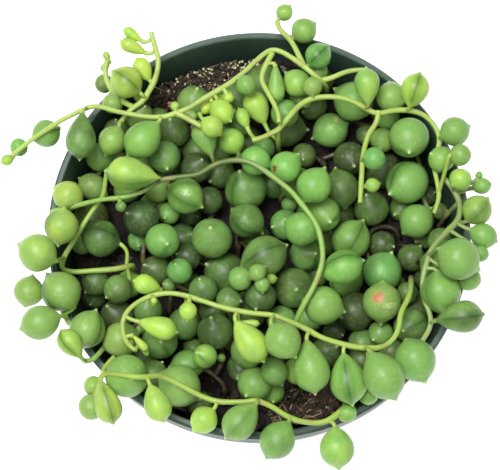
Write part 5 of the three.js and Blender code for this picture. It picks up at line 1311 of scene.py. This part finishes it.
def earthy(name, low, high, size, roughness, depth):
    """A rough finish whose colour and height follow one noise of a size in millimetres, with painted
    shade away from the open places.
    """
    material, tree = new_material(name)
    where = add(tree, "TexCoord").outputs["Object"]
    lumps = add(tree, "TexNoise", inputs={
        "Vector": where, "Scale": 1 / (size * MM), "Detail": 6.0, "Roughness": 0.65})
    colour = add(tree, "ValToRGB", inputs={"Fac": lumps}, stops=[(0.35, low), (0.7, high)])
    # Painted shade: away from the open places the colour is scaled down to a quarter
    unshaded = 0.0
    for right, up, reach in UNSHADED_PLACES:
        middle = tuple(place(right, up, SOIL_TOP - POT_HEIGHT) * MM)
        apart = add(tree, "VectorMath", {"operation": "DISTANCE"}, {0: where, 1: middle})
        near = add(tree, "MapRange", SMOOTH, {
            0: apart.outputs["Value"], 1: 0.7 * reach * MM, 2: reach * MM, 3: 1.0, 4: 0.0})
        unshaded = add(tree, "Math", {"operation": "MAXIMUM"}, {0: near, 1: unshaded})
    painted_shade_scale = add(tree, "MapRange", None, {0: unshaded, 3: PAINTED_SHADE, 4: 1.0})
    colour = add(tree, "VectorMath", {"operation": "SCALE"}, {0: colour, "Scale": painted_shade_scale})
    height = add(tree, "Bump", inputs={"Strength": 0.8, "Distance": depth * MM, "Height": lumps})
    surface = add(tree, "BsdfPrincipled", inputs={
        "Base Color": colour, "Roughness": roughness, "Normal": height})
    add(tree, "OutputMaterial", inputs={"Surface": surface})
    return material


# Moist peat is nearly black between brown crumbs, and only the dead leaf has a little gloss
peat = earthy("moist_peat", "#14100c", "#55463a", 2, 0.95, 0.8)
fibre = earthy("dry_peat_fibre", "#7a6547", "#cbb48c", 3.3, 0.9, 0.3)
perlite = earthy("expanded_perlite", "#a9a48f", "#e6e1d0", 1.4, 0.9, 0.2)
grit = earthy("cream_grit", "#a39a78", "#e4deb4", 1, 0.9, 0.1)
bark = earthy("composted_bark", "#35241a", "#6b4a35", 2.9, 0.9, 0.4)
dry_tissue = earthy("dry_leaf_tissue", "#a8714f", "#e3b08a", 4, 0.75, 0.3)
dead_leaf = earthy("dead_leaf", "#3b2b2d", "#6f5350", 4.5, 0.6, 0.4)
FINISHES = {"soil": peat, "bark": bark, "perlite": perlite, "dry_flake": dry_tissue,
            "dry_leaf": dead_leaf}
for name, object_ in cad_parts.items():
    for start, material in FINISHES.items():
        if name.startswith(start):
            for slot in object_.material_slots:
                slot.material = material

# %% Strew crumbs, fibres and grains over the soil
deselect_all()
bpy.ops.mesh.primitive_ico_sphere_add(subdivisions=1, radius=0.5 * MM)
crumb = bpy.context.object
edit(True)
bpy.ops.mesh.select_all(action="SELECT")
bpy.ops.transform.vertex_random(offset=0.12 * MM, seed=4)
edit(False)


# The mix is heaped up against the wall at the back, where the pot was filled: how high, how far
# out and how far back the heap starts, over how many millimetres it rises, and where it ends
BANK_HEIGHT, BANK_OUT, BANK_BACK, BANK_RISE, BANK_END = 7, 42, 32, 6, 12


def bank(x, y):
    """How far the mix is heaped up at a place."""
    outwards = max(0, min(1, (math.hypot(x, y) - BANK_OUT) / BANK_RISE))
    backwards = max(0, min(1, (y - BANK_BACK) / BANK_RISE))
    return BANK_HEIGHT * outwards * backwards if x < BANK_END else 0


def strew(name, count, widths, shape, material, seed, middle=(0, 0), reach=None, lift=0):
    """Copies of the crumb at random places on the soil, joined into one piece.

    The places lie within a reach of a middle. The shape is a crumb's length, breadth and height
    over its width."""
    dice = random.Random(seed)
    deselect_all()
    limit = inside_radius(SOIL_TOP) - 1
    full_turn = 2 * math.pi
    left = count
    while left:
        far, angle = (reach or limit) * math.sqrt(dice.random()), dice.uniform(0, full_turn)
        x, y = middle[0] + far * math.cos(angle), middle[1] + far * math.sin(angle)
        if math.hypot(x, y) > limit:
            continue
        left -= 1
        width = dice.uniform(*widths)
        bed = SOIL_TOP + soil_relief(x, y) + bank(x, y) + lift
        z = bed + dice.uniform(-0.3, 0.2) * width * shape[2]
        lump = bpy.data.objects.new("lump", crumb.data.copy())
        bpy.context.collection.objects.link(lump)
        turn = Matrix.Rotation(dice.uniform(0, full_turn), 4, "Z")
        tilt = Matrix.Rotation(dice.uniform(-0.6, 0.6), 4, "X")
        size = Matrix.Diagonal([width * side * dice.uniform(0.7, 1.3) for side in shape] + [1])
        lump.data.transform(Matrix.Translation(Vector((x, y, z)) * MM) @ turn @ tilt @ size)
        lump.select_set(True)
    bpy.context.view_layer.objects.active = lump
    bpy.ops.object.join()
    piece = bpy.context.object
    piece.name = name
    piece.data.materials.append(material)
    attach(piece, "root")
    return piece


# Name, how many, smallest and largest width, shape, finish and seed, and where, if not all over
strewn = [
    strew("peat_crumbs", 1500, (0.9, 2.4), (1, 1, 0.7), peat, 3),
    strew("peat_bank", 600, (1.6, 2.6), (1, 1, 0.8), peat, 6, (-10, 43), 23),
    strew("fine_peat_bank", 1800, (0.5, 1.4), (1.2, 0.9, 0.7), peat, 10, (-10, 41), 24, 0.5),
    strew("bark_bits", 260, (0.8, 2.6), (1.3, 0.8, 0.4), bark, 4),
    strew("peat_fibres", 420, (0.3, 0.7), (6.0, 0.6, 0.5), fibre, 5),
    strew("fine_perlite", 120, (0.4, 0.9), (1, 1, 0.8), perlite, 7),
    strew("fibres_at_the_back", 260, (0.3, 0.5), (7.0, 0.5, 0.5), fibre, 11, (-18, 38), 16, 0.7),
    strew("grit_at_the_back", 420, (0.3, 0.9), (1, 1, 0.8), grit, 8, (-11, 42), 13, 0.8),
    strew("dry_scraps", 3, (1.3, 1.9), (1.9, 0.8, 0.6), dry_tissue, 12, (-22.5, 37.2), 1, 1.2),
    strew("pale_scraps", 2, (1.3, 1.7), (1.5, 1, 0.7), perlite, 13, (6.75, 45.5), 1, 1.2),
    strew("fibres_at_the_front", 150, (0.3, 0.6), (6.0, 0.6, 0.5), fibre, 9, (13, -40), 11),
]
bpy.data.objects.remove(crumb)
print("strewn:", {piece.name: len(piece.data.polygons) for piece in strewn}, "faces")

# %% [markdown]
# ## The picture
# The camera looks down from where the photograph was taken, 16 degrees off the vertical, with a
# long lens. The light is broad and soft from above, as from a window or a light tent.

# %% Set up the floor and the light
deselect_all()
bpy.ops.mesh.primitive_plane_add(size=6, location=(0, 0, -0.0005))
floor = bpy.context.object
floor.name = "floor"
# Lit background paper: it glows a little, so that it comes out white as on a light table
pale, tree = new_material("background_paper")
paper = add(tree, "BsdfPrincipled", inputs={
    "Base Color": linear("#f6f6f6"), "Roughness": 0.9,
    "Emission Color": linear("#ffffff"), "Emission Strength": 0.65})
add(tree, "OutputMaterial", inputs={"Surface": paper})
floor.data.materials.append(pale)


def area_light(name, location, size, power):
    """A square white lamp that faces the middle of the plant."""
    bpy.ops.object.light_add(type="AREA", location=location)
    lamp = bpy.context.object
    lamp.name = name
    lamp.data.size = size
    lamp.data.energy = power
    towards = Vector((0, 0, POT_HEIGHT * MM)) - Vector(location)
    lamp.rotation_euler = towards.to_track_quat("-Z", "Y").to_euler()


area_light("overhead", (-0.22, 0.05, 1.05), 0.5, 12.5)
area_light("front_fill", (0.2, -0.6, 1.0), 0.8, 3.3)
world = bpy.context.scene.world or bpy.data.worlds.new("world")
bpy.context.scene.world = world
world.use_nodes = True
sky = world.node_tree.nodes["Background"].inputs
sky["Color"].default_value = linear("#ffffff")
sky["Strength"].default_value = 0.25
bpy.context.scene.view_settings.view_transform = "Standard"

# %% Put the camera where the photograph was taken
# Its frame's middle is 2 mm left of and 1 mm below the point that the plan is measured from
AIM_LEFT, AIM_DOWN = 2, 1
bpy.ops.object.camera_add(location=eye * MM)
camera = bpy.context.object
camera.name = "camera"
camera.data.lens = 144
camera.data.sensor_width = 36
camera.data.clip_start = 0.05
aim = (picture_centre - AIM_LEFT * view_right - AIM_DOWN * view_up) * MM
back = Vector(eye * MM - aim).normalized()
right = Vector(view_up).cross(back).normalized()
camera.matrix_world = Matrix.Translation(Vector(eye * MM)) @ Matrix(
    (right, back.cross(right), back)).transposed().to_4x4()
bpy.context.scene.camera = camera
